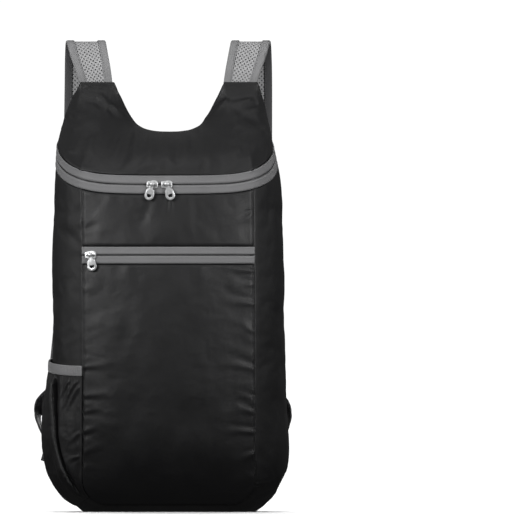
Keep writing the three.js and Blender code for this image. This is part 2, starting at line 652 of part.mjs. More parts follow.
// Each slider lies square on the tape where it stands, and its puller hangs straight down from the bar
function addSliders() {
  for (const { name, across, zip, cant } of SLIDERS) {
    const x = across * HALF_PANEL;
    const height = zip === 'main' ? zipCentre(Math.abs(across)) : POCKET_ZIP_HEIGHT;
    const reach = SLIDER_WIDTH / 2;
    const along = frontPoint(x + reach, height).sub(frontPoint(x - reach, height)).normalize();
    const up = frontPoint(x, height + reach).sub(frontPoint(x, height - reach)).normalize();
    const inward = up.clone().cross(along).normalize();
    const slider = addMesh(`slider_${name}`, sliderGeometry(), 'metal');
    slider.position.copy(frontPoint(x, height)).addScaledVector(inward, -SLIDER_SEAT);
    slider.quaternion.setFromRotationMatrix(
      new THREE.Matrix4().makeBasis(along, inward, along.clone().cross(inward)),
    );
    const upright = vec(0, 0, 1).addScaledVector(along, -along.z).normalize();
    const puller = addMesh(`puller_${name}`, pullerGeometry(cant), 'metal');
    puller.position.copy(slider.position).addScaledVector(inward, -BAR_OUT);
    puller.quaternion.setFromRotationMatrix(
      new THREE.Matrix4().makeBasis(along, upright.clone().cross(along), upright),
    );
  }
}

// How far the pocket's cloth stands off the left gusset
function pocketLoose(round, up) {
  return POCKET_FULLNESS * read(POCKET_SWELL, 'round', round, 'loose') * read(POCKET_RISE, 'up', up, 'loose');
}

// The pocket's place over the gusset: up runs from its foot at 0 to 1, and on into the hem. depth is
// measured outwards from the pocket's own cloth.
function pocketPoint(round, up, depth) {
  const t = mix(POCKET_MARGIN, 1 - POCKET_MARGIN, round);
  const lift = HEM_SLOPE * round * up;
  const height = POCKET_FOOT + up * (POCKET_HEIGHT - POCKET_FOOT) + lift;
  const p = skinBelow(t, height);
  const du = skinBelow(Math.min(t + 0.01, 1), height).sub(skinBelow(Math.max(t - 0.01, 0), height));
  const dv = skinBelow(t, height + 1).sub(skinBelow(t, height - 1));
  const normal = du.cross(dv).normalize();
  if (normal.x > 0) normal.negate();
  return p.addScaledVector(normal, GAP + POCKET_SEAT + POCKET_WALL + pocketLoose(round, up) + depth);
}

// The left gusset's outer face at a height, down round its bottom corner
function skinBelow(t, height) {
  const cornerTop = SEAM_LIFT + mix(PANEL_CORNER, BACK_CORNER, t);
  if (height >= cornerTop) {
    return gussetWall(-1, height, t, CLOTH_WALL + BUTT_GAP);
  }
  const radius = cornerTop - SEAM_LIFT;
  const sine = THREE.MathUtils.clamp((cornerTop - height) / radius, 0, 1);
  return bandPoint(-1, 1 + Math.asin(sine) / (Math.PI / 2), t);
}

function addPocket() {
  const rows = POCKET_RISE.length - 2;
  const cloth = (depth) => (u, v) => pocketPoint(u, POCKET_RISE[Math.round(v * rows)].up, depth);
  addMesh('side_pocket', shellGeometry(POCKET_COLUMNS, rows, cloth(0), cloth(-POCKET_WALL)), 'cloth');
  const hemUp = HEM_HEIGHT / (POCKET_HEIGHT - POCKET_FOOT);
  const start = 1 + GAP / (POCKET_HEIGHT - POCKET_FOOT);
  const hem = (depth) => (u, v) => pocketPoint(u, start + v * hemUp, depth);
  const hemFaces = [hem(HEM_WALL - POCKET_WALL), hem(-POCKET_WALL)];
  addMesh('side_pocket_hem', shellGeometry(POCKET_COLUMNS, 1, ...hemFaces), 'tape');
}

// A solid that sweeps an outline along a list of frames. An outline's points are across and out of the strip
function sweptGeometry(frames, outline) {
  const positions = [];
  const first = outline(frames[0]);
  for (const frame of frames) {
    for (const [across, out] of outline(frame)) {
      const p = frame.centre.clone().addScaledVector(frame.across, across).addScaledVector(frame.out, out);
      positions.push(p.x, p.y, p.z);
    }
  }
  const count = first.length;
  const index = [];
  for (let i = 0; i < frames.length - 1; i += 1) {
    for (let j = 0; j < count; j += 1) {
      const a = i * count + j;
      const b = i * count + ((j + 1) % count);
      index.push(a, b, b + count, a, b + count, a + count);
    }
  }
  const cap = THREE.ShapeUtils.triangulateShape(first.map(([a, b]) => new THREE.Vector2(a, b)), []);
  const end = (frames.length - 1) * count;
  const forward = THREE.ShapeUtils.area(first.map(([a, b]) => new THREE.Vector2(a, b))) > 0;
  for (const [a, b, c] of cap) {
    const start = forward ? [a, c, b] : [a, b, c];
    index.push(...start);
    index.push(...start.slice().reverse().map((i) => i + end));
  }
  return closedGeometry(positions, index);
}

// Frames along a curve whose points come from the rows of a route table. The strip's width turns from
// lying across the back to standing edge on, by the route's turn. Its first frame lies as its seat does.
function routeFrames(route, points, side, steps, seat) {
  const curve = new THREE.CatmullRomCurve3(points, false, 'centripetal');
  const frames = Array.from({ length: steps + 1 }, (_, i) => {
    const t = i / steps;
    const place = t * (route.length - 1);
    const start = Math.min(Math.floor(place), route.length - 2);
    const column = (name, usual) => {
      const next = route[start + 1];
      return mix(route[start][name] ?? usual, next[name] ?? usual, place - start);
    };
    const tangent = curve.getTangent(t);
    const turn = column('turn', 0) * Math.PI / 2;
    const flat = vec(Math.cos(turn), -side * Math.sin(turn), 0);
    const across = flat.addScaledVector(tangent, -flat.dot(tangent)).normalize();
    const out = across.clone().cross(tangent);
    return { centre: curve.getPoint(t), across, out, tangent, wide: column('wide', 1) };
  });
  frames[0].across = seat.across;
  frames[0].out = seat.out;
  return frames;
}

const sideColumn = (side) => (side < 0 ? 'left' : 'right');

// The strap starts level, because its end is sewn to the horn's level edge
function strapFrames(side, steps) {
  const points = STRAP_ROUTE.map((row) => vec(
    side * row[sideColumn(side)] * HALF_BACK,
    STRAP_ROOT + row.back * STRAP_STANDOFF,
    HORN_HEIGHT + BUTT_GAP + row.up * (row.up > 0 ? STRAP_LOOP : STRAP_DROP),
  ));
  return routeFrames(STRAP_ROUTE, points, side, steps, { across: vec(1, 0, 0), out: vec(0, -1, 0) });
}

// The route of a strip of webbing that starts at the lock's foot. Its rows give the way to foot, and what
// the lock's place adds to the first row fades out on the way down.
function webbingPoints(route, side, root, foot) {
  const place = (row) => vec(
    side * row[sideColumn(side)] * HALF_BACK,
    STRAP_ROOT + row.back * STRAP_STANDOFF,
    mix(root.z, foot, row.down),
  );
  const shift = root.clone().sub(place(route[0]));
  return route.map((row) => place(row).addScaledVector(shift, (1 - row.down) ** 2));
}

// A ladder lock's frame with its two slots, drawn across and along the strap
function lockGeometry(frame) {
  const half = WEBBING_WIDTH / 2 + BUTT_GAP;
  const wide = half + LOCK_SIDE;
  const high = LOCK_HEIGHT / 2;
  const shape = new THREE.Shape();
  shape.moveTo(-wide, -high + LOCK_SIDE);
  shape.lineTo(-wide + LOCK_SIDE, -high);
  shape.lineTo(wide - LOCK_SIDE, -high);
  shape.lineTo(wide, -high + LOCK_SIDE);
  shape.lineTo(wide, high);
  shape.lineTo(-wide, high);
  shape.closePath();
  for (const [reach, low, top] of [
    [half, -high + LOCK_RAIL, -LOCK_RAIL / 2],
    [half - GAP, LOCK_RAIL / 2, high - LOCK_RAIL],
  ]) {
    const slot = new THREE.Path();
    slot.moveTo(-reach, low);
    slot.lineTo(-reach, top);
    slot.lineTo(reach, top);
    slot.lineTo(reach, low);
    shape.holes.push(slot);
  }
  const lock = new THREE.ExtrudeGeometry(shape, { depth: LOCK_WALL, bevelEnabled: false });
  lock.translate(0, 0, -LOCK_WALL / 2);
  const upright = frame.tangent.clone().negate();
  const out = frame.across.clone().cross(upright);
  lock.applyMatrix4(new THREE.Matrix4().makeBasis(frame.across, upright, out));
  const reach = LOCK_HEIGHT / 2 + BUTT_GAP;
  const centre = frame.centre.clone().addScaledVector(frame.tangent, reach);
  return lock.translate(centre.x, centre.y, centre.z);
}

const flatOutline = (width, wall) => (frame) => {
  const a = frame.wide * width / 2;
  const b = wall / 2;
  return [[-a, -b], [a, -b], [a, b], [-a, b]];
};

// The binding folded over one edge of the mesh
const bindingOutline = (hand) => (frame) => {
  const edge = frame.wide * STRAP_WIDTH / 2;
  const inner = STRAP_WALL / 2 + BUTT_GAP;
  const outer = inner + BINDING_WALL;
  const lip = edge - BINDING_WIDTH;
  const wall = edge - BINDING_WALL;
  const half = [[lip, outer], [edge, outer], [edge, -outer], [lip, -outer], [lip, -inner], [wall, -inner]];
  return [...half, [wall, inner], [lip, inner]].map(([a, b]) => [hand * a, b]);
};

function addStraps() {
  const meshWidth = STRAP_WIDTH - 2 * (BINDING_WALL + BUTT_GAP);
  const webbingOutline = flatOutline(WEBBING_WIDTH, WEBBING_WALL);
  const corner = SEAM_LIFT + BACK_CORNER + WEBBING_WALL;
  for (const side of [-1, 1]) {
    const name = sideColumn(side);
    const frames = strapFrames(side, STRAP_STEPS);
    addMesh(`strap_mesh_${name}`, sweptGeometry(frames, flatOutline(meshWidth, STRAP_WALL)), 'mesh');
    addMesh(`binding_outer_${name}`, sweptGeometry(frames, bindingOutline(side)), 'tape');
    addMesh(`binding_inner_${name}`, sweptGeometry(frames, bindingOutline(-side)), 'tape');
    const last = frames[frames.length - 1];
    addMesh(`ladder_lock_${name}`, lockGeometry(last), 'plastic');
    const foot = last.centre.clone().addScaledVector(last.tangent, LOCK_HEIGHT + 2 * BUTT_GAP + WEBBING_WALL);
    const back = vec(0, (WEBBING_WALL + GAP) / 2, 0);
    const webbing = webbingPoints(WEBBING_ROUTE, side, foot.clone().sub(back), corner);
    const webbingFrames = routeFrames(WEBBING_ROUTE, webbing, side, WEBBING_STEPS, last);
    addMesh(`webbing_${name}`, sweptGeometry(webbingFrames, webbingOutline), 'webbing');
    const tail = webbingPoints(TAIL_ROUTE, side, foot.clone().add(back), foot.z - TAIL_LENGTH);
    const tailFrames = routeFrames(TAIL_ROUTE, tail, side, TAIL_STEPS, last);
    addMesh(`webbing_tail_${name}`, sweptGeometry(tailFrames, webbingOutline), 'webbing');
  }
}

addFront();
addBand();
addLid();
addBack();
addZips();
addSliders();
addPocket();
addStraps();

export default bag;
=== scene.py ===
# %% [markdown]
# # A packable backpack of thin black nylon
#
# The real bag is one layer of light cloth, sewn along a few seams round a curved main zip and a straight
# pocket zip, with two shoulder straps of open mesh that loop from the horns down the back. This notebook
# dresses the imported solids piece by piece: cloth first, then zips, straps, hardware, materials and light.

# %% The frame that every piece is placed in
import math

import bpy
import numpy as np
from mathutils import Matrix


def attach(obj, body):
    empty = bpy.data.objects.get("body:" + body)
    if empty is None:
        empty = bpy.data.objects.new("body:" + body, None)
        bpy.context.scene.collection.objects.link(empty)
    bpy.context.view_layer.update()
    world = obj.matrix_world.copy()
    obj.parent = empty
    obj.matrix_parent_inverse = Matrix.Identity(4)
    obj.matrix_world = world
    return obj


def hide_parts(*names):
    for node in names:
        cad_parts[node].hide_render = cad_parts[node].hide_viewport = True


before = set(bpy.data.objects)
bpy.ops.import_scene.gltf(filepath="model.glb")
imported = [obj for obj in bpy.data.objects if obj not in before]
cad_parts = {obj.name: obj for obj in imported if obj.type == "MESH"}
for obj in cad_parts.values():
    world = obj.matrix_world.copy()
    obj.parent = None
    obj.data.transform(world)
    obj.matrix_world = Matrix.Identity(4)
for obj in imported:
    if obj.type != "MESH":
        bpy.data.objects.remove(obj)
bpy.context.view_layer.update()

# %% [markdown]
# ## Sizes
#
# Lengths are in millimetres here, because cloth is cut in millimetres, and become metres when a mesh is
# made. The body is described by what its seams do as they climb: how far the front and the back seam stand
# from the middle, how wide the back is, and how full the cloth between them lies. Five such columns say
# more about the bag than a thousand points would, and every piece reads its place from them.

# %% Sizes and the body's table
CLOTH_WALL, BUTT_GAP, GAP = 2.0, 0.5, 0.3
PANEL_WIDTH, BACK_WIDTH, BODY_DEPTH = 190.0, 236.0, 122.0
FRONT_FULLNESS, BACK_FULLNESS, GUSSET_FULLNESS = 9.0, 6.0, 21.0
SEAM_LIFT, PANEL_CORNER, BACK_CORNER = 8.0, 28.0, 42.0
BOTTOM_FULL, CORNER_TUCK, LEAN = 0.88, 0.28, 5.0
ZIP_HEIGHT, ZIP_RISE, ZIP_WIDTH = 360.0, 42.0, 20.0
NECK_HEIGHT, HORN_HEIGHT = 419.0, 472.0
POCKET_ZIP_HEIGHT, POCKET_ZIP_WIDTH = 282.5, 18.5
HALF_PANEL, HALF_BACK, HALF_DEPTH = PANEL_WIDTH / 2, BACK_WIDTH / 2, BODY_DEPTH / 2
VIEW_WIDTH, VIEW_HEIGHT, VIEW_X, VIEW_FLOOR, VIEW_SCALE = 508, 520, 169.0, 512.0, 1.1

BODY = {
    "up": [0.022, 0.06, 0.12, 0.2, 0.3, 0.42, 0.6, 0.78, 0.92, 1.0, 1.07, 1.15, 1.21, 1.26, 1.32],
    "front": [0.77, 0.86, 0.93, 0.97, 0.97, 0.95, 0.89, 0.8, 0.72, 0.69, 0.66, 0.64, 0.64, 0.64, 0.64],
    "back": [0.9, 0.94, 0.975, 1.0, 1.0, 1.0, 1.0, 0.98, 0.96, 0.94, 0.93, 0.93, 0.93, 0.93, 0.93],
    "edge": [1.0, 1.0, 1.0, 1.0, 1.0, 1.0, 1.0, 1.0, 0.995, 0.99, 0.985, 0.98, 0.98, 0.98, 0.98],
    "full": [0.6, 0.85, 1.05, 1.12, 1.03, 0.97, 0.95, 0.92, 0.86, 0.8, 0.68, 0.5, 0.5, 0.5, 0.5],
    "crown": [0.0, 0.3, 0.7, 1.0, 1.05, 1.0, 0.95, 0.92, 0.86, 0.8, 0.68, 0.5, 0.5, 0.5, 0.5],
    "lean": [0.0, 0.0, 0.0, 0.0, 0.0, 0.0, 0.05, 0.15, 0.25, 0.35, 0.6, 1.0, 0.9, 0.5, 0.0],
}


def through(keys, values, at):
    """A smooth curve through a table's rows, read at one or many places."""
    x, y = np.asarray(keys, float), np.asarray(values, float)
    slope = np.empty_like(y)
    slope[1:-1] = (y[2:] - y[:-2]) / (x[2:] - x[:-2])
    slope[0], slope[-1] = (y[1] - y[0]) / (x[1] - x[0]), (y[-1] - y[-2]) / (x[-1] - x[-2])
    i = np.clip(np.searchsorted(x, at, side="left") - 1, 0, len(x) - 2)
    span = x[i + 1] - x[i]
    t = np.clip((at - x[i]) / span, 0, 1)
    straight = (2 * t**3 - 3 * t**2 + 1) * y[i] + (3 * t**2 - 2 * t**3) * y[i + 1]
    return straight + span * ((t**3 - 2 * t**2 + t) * slope[i] + (t**3 - t**2) * slope[i + 1])


def body(height, column):
    return through(BODY["up"], BODY[column], np.asarray(height, float) / ZIP_HEIGHT)


def lean(height):
    return -LEAN * body(height, "lean")


def front_seam(height):
    return -HALF_DEPTH * body(height, "front")


def back_seam(height):
    return HALF_DEPTH * body(height, "back")


def back_inner(height):
    return back_seam(height) - CLOTH_WALL - BUTT_GAP


def mix(a, b, t):
    return a + (b - a) * t


def hump(t):
    return 4 * t * (1 - t)


def points(x, y, z):
    return np.stack(np.broadcast_arrays(np.asarray(x, float), y, z), axis=-1)


STRAP_ROOT = float(back_seam(HORN_HEIGHT)) - CLOTH_WALL / 2

# %% [markdown]
# ## The surfaces that the cloth lies on
#
# Each function takes shares across and along a piece and gives the places on its outer face. They are the
# same rules that the solids were made by, so a fine cloth made from them lies exactly on its coarse solid.

# %% Front, gusset and zip surfaces
def front_point(x, height):
    share = x / HALF_PANEL
    full = FRONT_FULLNESS * body(height, "crown") * (1 - share**2)
    return points(x + lean(height), front_seam(height) - full, height)


def gusset_point(side, height, t, setback=0.0):
    full = GUSSET_FULLNESS * body(height, "full") * hump(t)
    out = mix(HALF_PANEL, HALF_BACK * body(height, "edge"), t) + full
    return points(side * out + lean(height), mix(front_seam(height) + setback, back_inner(height), t), height)


ZIP_ROUND = [0, 0.5, 0.8, 1, 1.2, 1.4, 1.6, 1.8, 2]
ZIP_CLIMB = [0, 0.01, 0.05, 0.14, 0.3, 0.5, 0.7, 0.87, 1]


def zip_centre(round_):
    return ZIP_HEIGHT + ZIP_RISE * through(ZIP_ROUND, ZIP_CLIMB, round_)


def zip_point(side, round_, up):
    """round_ is 0 at the front's middle, 1 at its seam and 2 at the back; up is -1 to 1 across the zip."""
    round_ = np.asarray(round_, float)
    slope = (zip_centre(round_ + 0.02) - zip_centre(round_ - 0.02)) / (0.04 * (HALF_PANEL + BODY_DEPTH) / 2)
    height = zip_centre(round_) + up * ZIP_WIDTH / 2 * np.hypot(1, slope)
    on_front = front_point(side * np.minimum(round_, 1) * HALF_PANEL, height)
    on_side = gusset_point(side, height, np.maximum(round_ - 1, 0))
    return np.where((round_ <= 1)[..., None], on_front, on_side)


def band_point(side, run, t):
    """The strip round the side and the bottom: run is 1 at the side's foot, 2 and 3 along the bottom."""
    top_of_corner = SEAM_LIFT + mix(PANEL_CORNER, BACK_CORNER, t)
    top = zip_point(side, 1 + t, -1)[..., 2] - GAP
    wall = gusset_point(side, mix(top, top_of_corner, np.minimum(run, 1)), t, BUTT_GAP)
    angle = np.clip(run - 1, 0, 1) * math.pi / 2
    along = np.maximum(run - 2, 0)

    def seam(half, radius):
        x = (half - radius + radius * np.cos(angle)) * (1 - along)
        return x, SEAM_LIFT + radius * (1 - np.sin(angle))

    (front_x, front_z), (back_x, back_z) = seam(HALF_PANEL, PANEL_CORNER), seam(HALF_BACK, BACK_CORNER)
    full = mix(body(top_of_corner, "full"), BOTTOM_FULL, np.sin(angle)) - CORNER_TUCK * np.sin(2 * angle)
    reach = full * GUSSET_FULLNESS * hump(t)
    x = side * (mix(front_x, back_x, t) + reach * np.cos(angle))
    z = np.maximum(mix(front_z, back_z, t) - reach * np.sin(angle), 0)
    y = mix(front_seam(front_z) + BUTT_GAP, back_inner(back_z), t)
    return np.where((run <= 1)[..., None], wall, points(x, y, z))


# %% Lid and back surfaces
LID = {
    "across": [0, 0.1, 0.2, 0.29, 0.365, 0.44, 0.515, 0.62, 0.73, 0.83, 0.885, 0.935, 0.965, 0.98],
    "up": [0, 0.008, 0.045, 0.14, 0.36, 0.68, 1, 1, 1, 1, 0.77, 0.48, 0.2, 0.04],
    "round": [0, 0.16, 0.32, 0.46, 0.6, 0.74, 0.86, 0.97, 1.12, 1.27, 1.45, 1.64, 1.82, 2],
    "goBack": [0.1, 0.1, 0.1, 0.12, 0.14, 0.15, 0.15, 0.15, 0.15, 0.16, 0.18, 0.2, 0.25, 0.3],
    "goUp": [0.6, 0.6, 0.57, 0.5, 0.42, 0.36, 0.32, 0.32, 0.34, 0.36, 0.38, 0.4, 0.36, 0.33],
    "endBack": [0.5, 0.5, 0.46, 0.38, 0.28, 0.2, 0.15, 0.15, 0.16, 0.18, 0.22, 0.26, 0.3, 0.33],
    "endUp": [0.02, 0.02, 0.05, 0.12, 0.25, 0.38, 0.45, 0.45, 0.43, 0.4, 0.36, 0.34, 0.33, 0.33],
}
HORN_IN, HORN_OUT, LID_END = 6, 9, 13


def lid_row(place, column):
    """A column of the lid's table between its rows: a curve on the neck and the slope, straight on a horn."""
    values = LID[column]
    rows = np.arange(LID_END + 1)
    neck = through(rows[: HORN_IN + 1], values[: HORN_IN + 1], place)
    horn = np.interp(place, rows, values)
    slope = through(rows[HORN_OUT:], values[HORN_OUT:], place)
    return np.where(place <= HORN_IN, neck, np.where(place <= HORN_OUT, horn, slope))


def edge_point(side, place):
    end = zip_point(side, np.full_like(place, 2.0), 1)[..., 2] + GAP
    base = np.where(place > HORN_OUT, end, NECK_HEIGHT)
    height = mix(base, HORN_HEIGHT, lid_row(place, "up"))
    across = lid_row(place, "across")
    return points(side * across * HALF_BACK + lean(height) * across**2, back_inner(height), height)


def lid_point(place, v):
    """place runs from -13 to 13 over the lid's rows, v from the zip to the back edge."""
    side = np.where(place < 0, -1.0, 1.0)
    row = np.abs(place)
    low = zip_point(side, lid_row(row, "round"), 1)
    low[..., 2] += GAP
    high = edge_point(side, row)
    run = high - low
    share = lambda back, up: points(0.33, lid_row(row, back), lid_row(row, up))
    first = low + run * share("goBack", "goUp")
    second = high - run * share("endBack", "endUp")
    v = v[..., None]
    return low * (1 - v) ** 3 + 3 * first * v * (1 - v) ** 2 + 3 * second * v**2 * (1 - v) + high * v**3


def back_point(place, level):
    """level is 0 at the bottom seam, 1 at the zip's end and 2 at the neck and the horns."""
    side = np.where(place < 0, -1.0, 1.0)
    row = np.abs(place)
    share = lid_row(row, "across") / LID["across"][LID_END]
    shoulder = float(zip_point(1, np.array(2.0), -1)[2])
    height = mix(SEAM_LIFT, shoulder, np.minimum(level, 1))
    past = np.maximum(SEAM_LIFT + BACK_CORNER - height, 0)
    half = HALF_BACK * body(height, "edge") - BACK_CORNER + np.sqrt(np.maximum(BACK_CORNER**2 - past**2, 0))
    low = points(side * share * half + lean(height), 0, height)
    place_ = mix(low, edge_point(side, row), np.maximum(level - 1, 0)[..., None])
    full = BACK_FULLNESS * body(height, "crown") * (1 - share**2) * np.maximum(1 - level**4, 0)
    place_[..., 1] = back_seam(place_[..., 2]) + full
    return place_


# %% [markdown]
# ## Cloth
#
# Thin nylon never lies flat. It carries long soft billows from what fills the bag, short folds that start
# at a seam where the cloth was eased in, and a fine crumple left from being packed. Each is a height over
# the smooth surface, so folds can be placed one by one where the real bag has them, as rows of a table:
# where a fold starts and ends, how high it stands and how wide it is.

# %% Heights over a surface
def lumps(x, y, size, seed):
    """Soft random hills about a given size across, with a fixed seed."""
    table = np.random.default_rng(seed).standard_normal((97, 97))
    a, b = x / size + 40, y / size + 40
    i, j = np.floor(a).astype(int), np.floor(b).astype(int)
    s, t = a - i, b - j
    s, t = s**3 * (s * (s * 6 - 15) + 10), t**3 * (t * (t * 6 - 15) + 10)
    pick = lambda di, dj: table[(i + di) % 97, (j + dj) % 97]
    return mix(mix(pick(0, 0), pick(1, 0), s), mix(pick(0, 1), pick(1, 1), s), t)


def crumple(x, y, size, seed):
    """Sharp little creases between flat facets, as on cloth that was packed small."""
    return 1 - np.abs(lumps(x, y, size, seed) + 0.5 * lumps(y, x, size / 2.1, seed + 1))


def folds(x, y, rows):
    """Each row is x0, y0, x1, y1, height, width: a ridge that fades from its start, a valley beside it."""
    height = np.zeros(np.broadcast(x, y).shape)
    for x0, y0, x1, y1, rise, width in rows:
        dx, dy = x1 - x0, y1 - y0
        length = math.hypot(dx, dy)
        along = ((x - x0) * dx + (y - y0) * dy) / length**2
        off = ((x - x0) * dy - (y - y0) * dx) / length
        fade = np.clip(1 - along, 0, 1) ** 0.9 * np.clip(along / 0.12 + 1, 0, 1)
        wide = width * (0.75 + 0.7 * np.clip(along, 0, 1))
        ridge = np.exp(-((off / wide) ** 2)) - 0.6 * np.exp(-(((off - 1.7 * wide) / (1.1 * wide)) ** 2))
        height += rise * fade * ridge
    return height


def seen(rows):
    """Rows whose ends are counted in the photograph's frame, turned into millimetres on the bag."""
    x = lambda column: (column - VIEW_X) * VIEW_SCALE
    z = lambda row: (VIEW_FLOOR - row) * VIEW_SCALE
    return [(x(a), z(b), x(c), z(d), rise, width) for a, b, c, d, rise, width in rows]


def groove(distance, depth=1.5, reach=2.4):
    """The cloth turning in at a seam."""
    return -depth * np.exp(-((distance / reach) ** 2))


# %% [markdown]
# The puckers along a seam aren't drawn by hand. Each panel is cut a little larger than the seams that hold
# it, and Blender's Cloth is let settle between them under a light push from inside, as a full bag's cloth
# does. Only how far each place then stands off the smooth surface is kept, with the broad swell taken out.

# %% Cloth let settle between its seams
MM = 0.001


def quads_of(index):
    """The quads between the rows and columns of a grid of vertex numbers."""
    return np.stack([index[:-1, :-1], index[1:, :-1], index[1:, 1:], index[:-1, 1:]], axis=-1).reshape(-1, 4)


def spline_weights(fine, coarse):
    """How a fine row reads a coarse one through a smooth spline, as a matrix."""
    spot = np.linspace(0, coarse - 1, fine)
    i = np.minimum(spot.astype(int), coarse - 2)
    t = spot - i
    parts = [(1 - t) ** 3, 3 * t**3 - 6 * t**2 + 4, -3 * t**3 + 3 * t**2 + 3 * t + 1, t**3]
    matrix = np.zeros((fine, coarse))
    for k, part in enumerate(parts):
        np.add.at(matrix, (np.arange(fine), np.clip(i + k - 1, 0, coarse - 1)), part / 6)
    return matrix


def blurred(height, reach):
    """The height drawn broad over a number of rows and columns, and level past its edges."""
    for axis in (0, 1):
        steps = np.arange(-2 * reach, 2 * reach + 1)
        weight = np.exp(-((steps / reach) ** 2))
        size = height.shape[axis]
        height = sum(w * np.take(height, np.clip(np.arange(size) + k, 0, size - 1), axis=axis)
                     for w, k in zip(weight / weight.sum(), steps))
    return height


def settled(grid, outward, spare, push, cap, stride=2, broad=7, frames=20):
    """How high a grid stands, in millimetres, once its cloth with some spare cut settles between its edges."""
    coarse = grid[::stride, ::stride]
    n, m = coarse.shape[:2]
    index = np.arange(n * m).reshape(n, m)
    quads = quads_of(index)
    out = normals(coarse, np.broadcast_to(outward, grid.shape)[::stride, ::stride])
    first = coarse.reshape(-1, 3)
    facing = np.cross(first[quads[0, 1]] - first[quads[0, 0]], first[quads[0, 3]] - first[quads[0, 0]])
    if np.dot(facing, out.reshape(-1, 3)[quads[0, 0]]) < 0:
        quads = quads[:, ::-1]
    mesh = bpy.data.meshes.new("draft")
    mesh.from_pydata((first * MM).tolist(), [], quads.tolist())
    draft = bpy.data.objects.new("draft", mesh)
    bpy.context.scene.collection.objects.link(draft)
    seam = draft.vertex_groups.new(name="seam")
    border = np.unique(np.concatenate([index[0], index[-1], index[:, 0], index[:, -1]]))
    seam.add([int(k) for k in border], 1.0, "REPLACE")
    cloth = draft.modifiers.new("cloth", "CLOTH")
    cloth.settings.vertex_group_mass = "seam"
    cloth.settings.effector_weights.gravity = 0.0
    cloth.settings.use_pressure = True
    cloth.settings.uniform_pressure_force = push
    cloth.settings.shrink_min = -spare
    cloth.settings.bending_stiffness = 0.05
    cloth.settings.quality = 6
    cloth.collision_settings.use_collision = False
    for number in range(1, frames + 1):
        bpy.context.scene.frame_set(number)
    moved = np.empty(n * m * 3, np.float32)
    draft.evaluated_get(bpy.context.evaluated_depsgraph_get()).data.vertices.foreach_get("co", moved)
    bpy.data.objects.remove(draft)
    bpy.data.meshes.remove(mesh)
    bpy.context.scene.frame_set(1)
    height = np.sum((moved.reshape(n, m, 3) / MM - coarse) * out, axis=-1)
    height = height - blurred(height, broad)
    height = cap * np.tanh(height / cap)
    print(f"cloth settled {n} by {m}: {height.min():.2f} to {height.max():.2f} mm")
    return spline_weights(grid.shape[0], n) @ height @ spline_weights(grid.shape[1], m).T


def draped(grid, height, outward, share, spare, push=2.0, cap=2.5):
    """The grid with its folds on it, and on those the puckers of its cloth settled between the seams."""
    folded_cloth = raised(grid, height, outward)
    return raised(folded_cloth, share * settled(folded_cloth, outward, spare, push, cap), outward)


# %% A mesh from a grid of points
def lengths(grid, axis):
    """How far along the cloth each point lies, measured over the surface in metres."""
    steps = np.linalg.norm(np.diff(grid, axis=axis), axis=-1)
    middle = steps[:, steps.shape[1] // 2] if axis == 0 else steps[steps.shape[0] // 2]
    return np.concatenate([[0.0], np.cumsum(middle)]) * MM


def normals(grid, outward):
    normal = np.cross(np.gradient(grid, axis=0), np.gradient(grid, axis=1))
    normal /= np.maximum(np.linalg.norm(normal, axis=-1, keepdims=True), 1e-9)
    turned = np.sum(normal * outward, axis=-1, keepdims=True) < 0
    return np.where(turned, -normal, normal)


def raised(grid, height, outward):
    return grid + normals(grid, outward) * np.asarray(height)[..., None]


def grid_mesh(name, grid, outward, material, closed=False):
    """A mesh of quads over a grid of points in millimetres, facing outwards, its cloth lengths as UVs."""
    n, m = grid.shape[:2]
    index = np.arange(n * m).reshape(n, m)
    if closed:
        index = np.concatenate([index, index[:, :1]], axis=1)
    quads = quads_of(index)
    flat = grid.reshape(-1, 3)
    a, b, c = flat[quads[:, 0]], flat[quads[:, 1]], flat[quads[:, 3]]
    facing = np.cross(b - a, c - a)
    reference = np.broadcast_to(outward, grid.shape).reshape(-1, 3)[quads[:, 0]]
    if np.sum(facing * reference) < 0:
        quads = quads[:, ::-1]
    mesh = bpy.data.meshes.new(name)
    mesh.from_pydata((flat * MM).tolist(), [], quads.tolist())
    mesh.polygons.foreach_set("use_smooth", [True] * len(mesh.polygons))
    along, across = lengths(grid, 0), lengths(grid, 1)
    if closed:
        across = np.append(across, across[-1] + (across[1] - across[0]))
    corner = mesh.uv_layers.new(name="cut").data
    loops = np.array([loop.vertex_index for loop in mesh.loops])
    uv = np.stack([across[loops % m], along[loops // m]], axis=-1)
    corner.foreach_set("uv", uv.ravel().astype(np.float32))
    mesh.materials.append(material)
    piece = bpy.data.objects.new(name, mesh)
    bpy.context.scene.collection.objects.link(piece)
    return piece


def wall(piece, thickness):
    """Gives a sheet its thickness, inwards from the face that shows."""
    solid = piece.modifiers.new("wall", "SOLIDIFY")
    solid.thickness, solid.offset = thickness * MM, -1.0
    return piece


def put(piece, nodes, on="bag"):
    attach(piece, on)
    if nodes:
        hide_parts(*nodes)
    print(f"{piece.name}: {len(piece.data.polygons)} faces")
    return piece


# %% [markdown]
# ## Shader sums written as sums
#
# A material's pattern is arithmetic: waves, noise, masks. Wired by hand it becomes a page of node calls, so
# a small class wraps a socket and lets an ordinary expression such as `1 - wave * 0.3` add the nodes.

# %% A socket that can be added and multiplied
class Wire:
    def __init__(self, recipe, socket):
        self.recipe, self.socket = recipe, socket

    def __add__(self, other):
        return self.recipe.sum("ADD", self, other)

    def __sub__(self, other):
        return self.recipe.sum("SUBTRACT", self, other)

    def __mul__(self, other):
        return self.recipe.sum("MULTIPLY", self, other)

    def __truediv__(self, other):
        return self.recipe.sum("DIVIDE", self, other)

    def __pow__(self, other):
        return self.recipe.sum("POWER", self, other)

    def __rsub__(self, other):
        return self.recipe.sum("SUBTRACT", other, self)

    __radd__, __rmul__ = __add__, __mul__


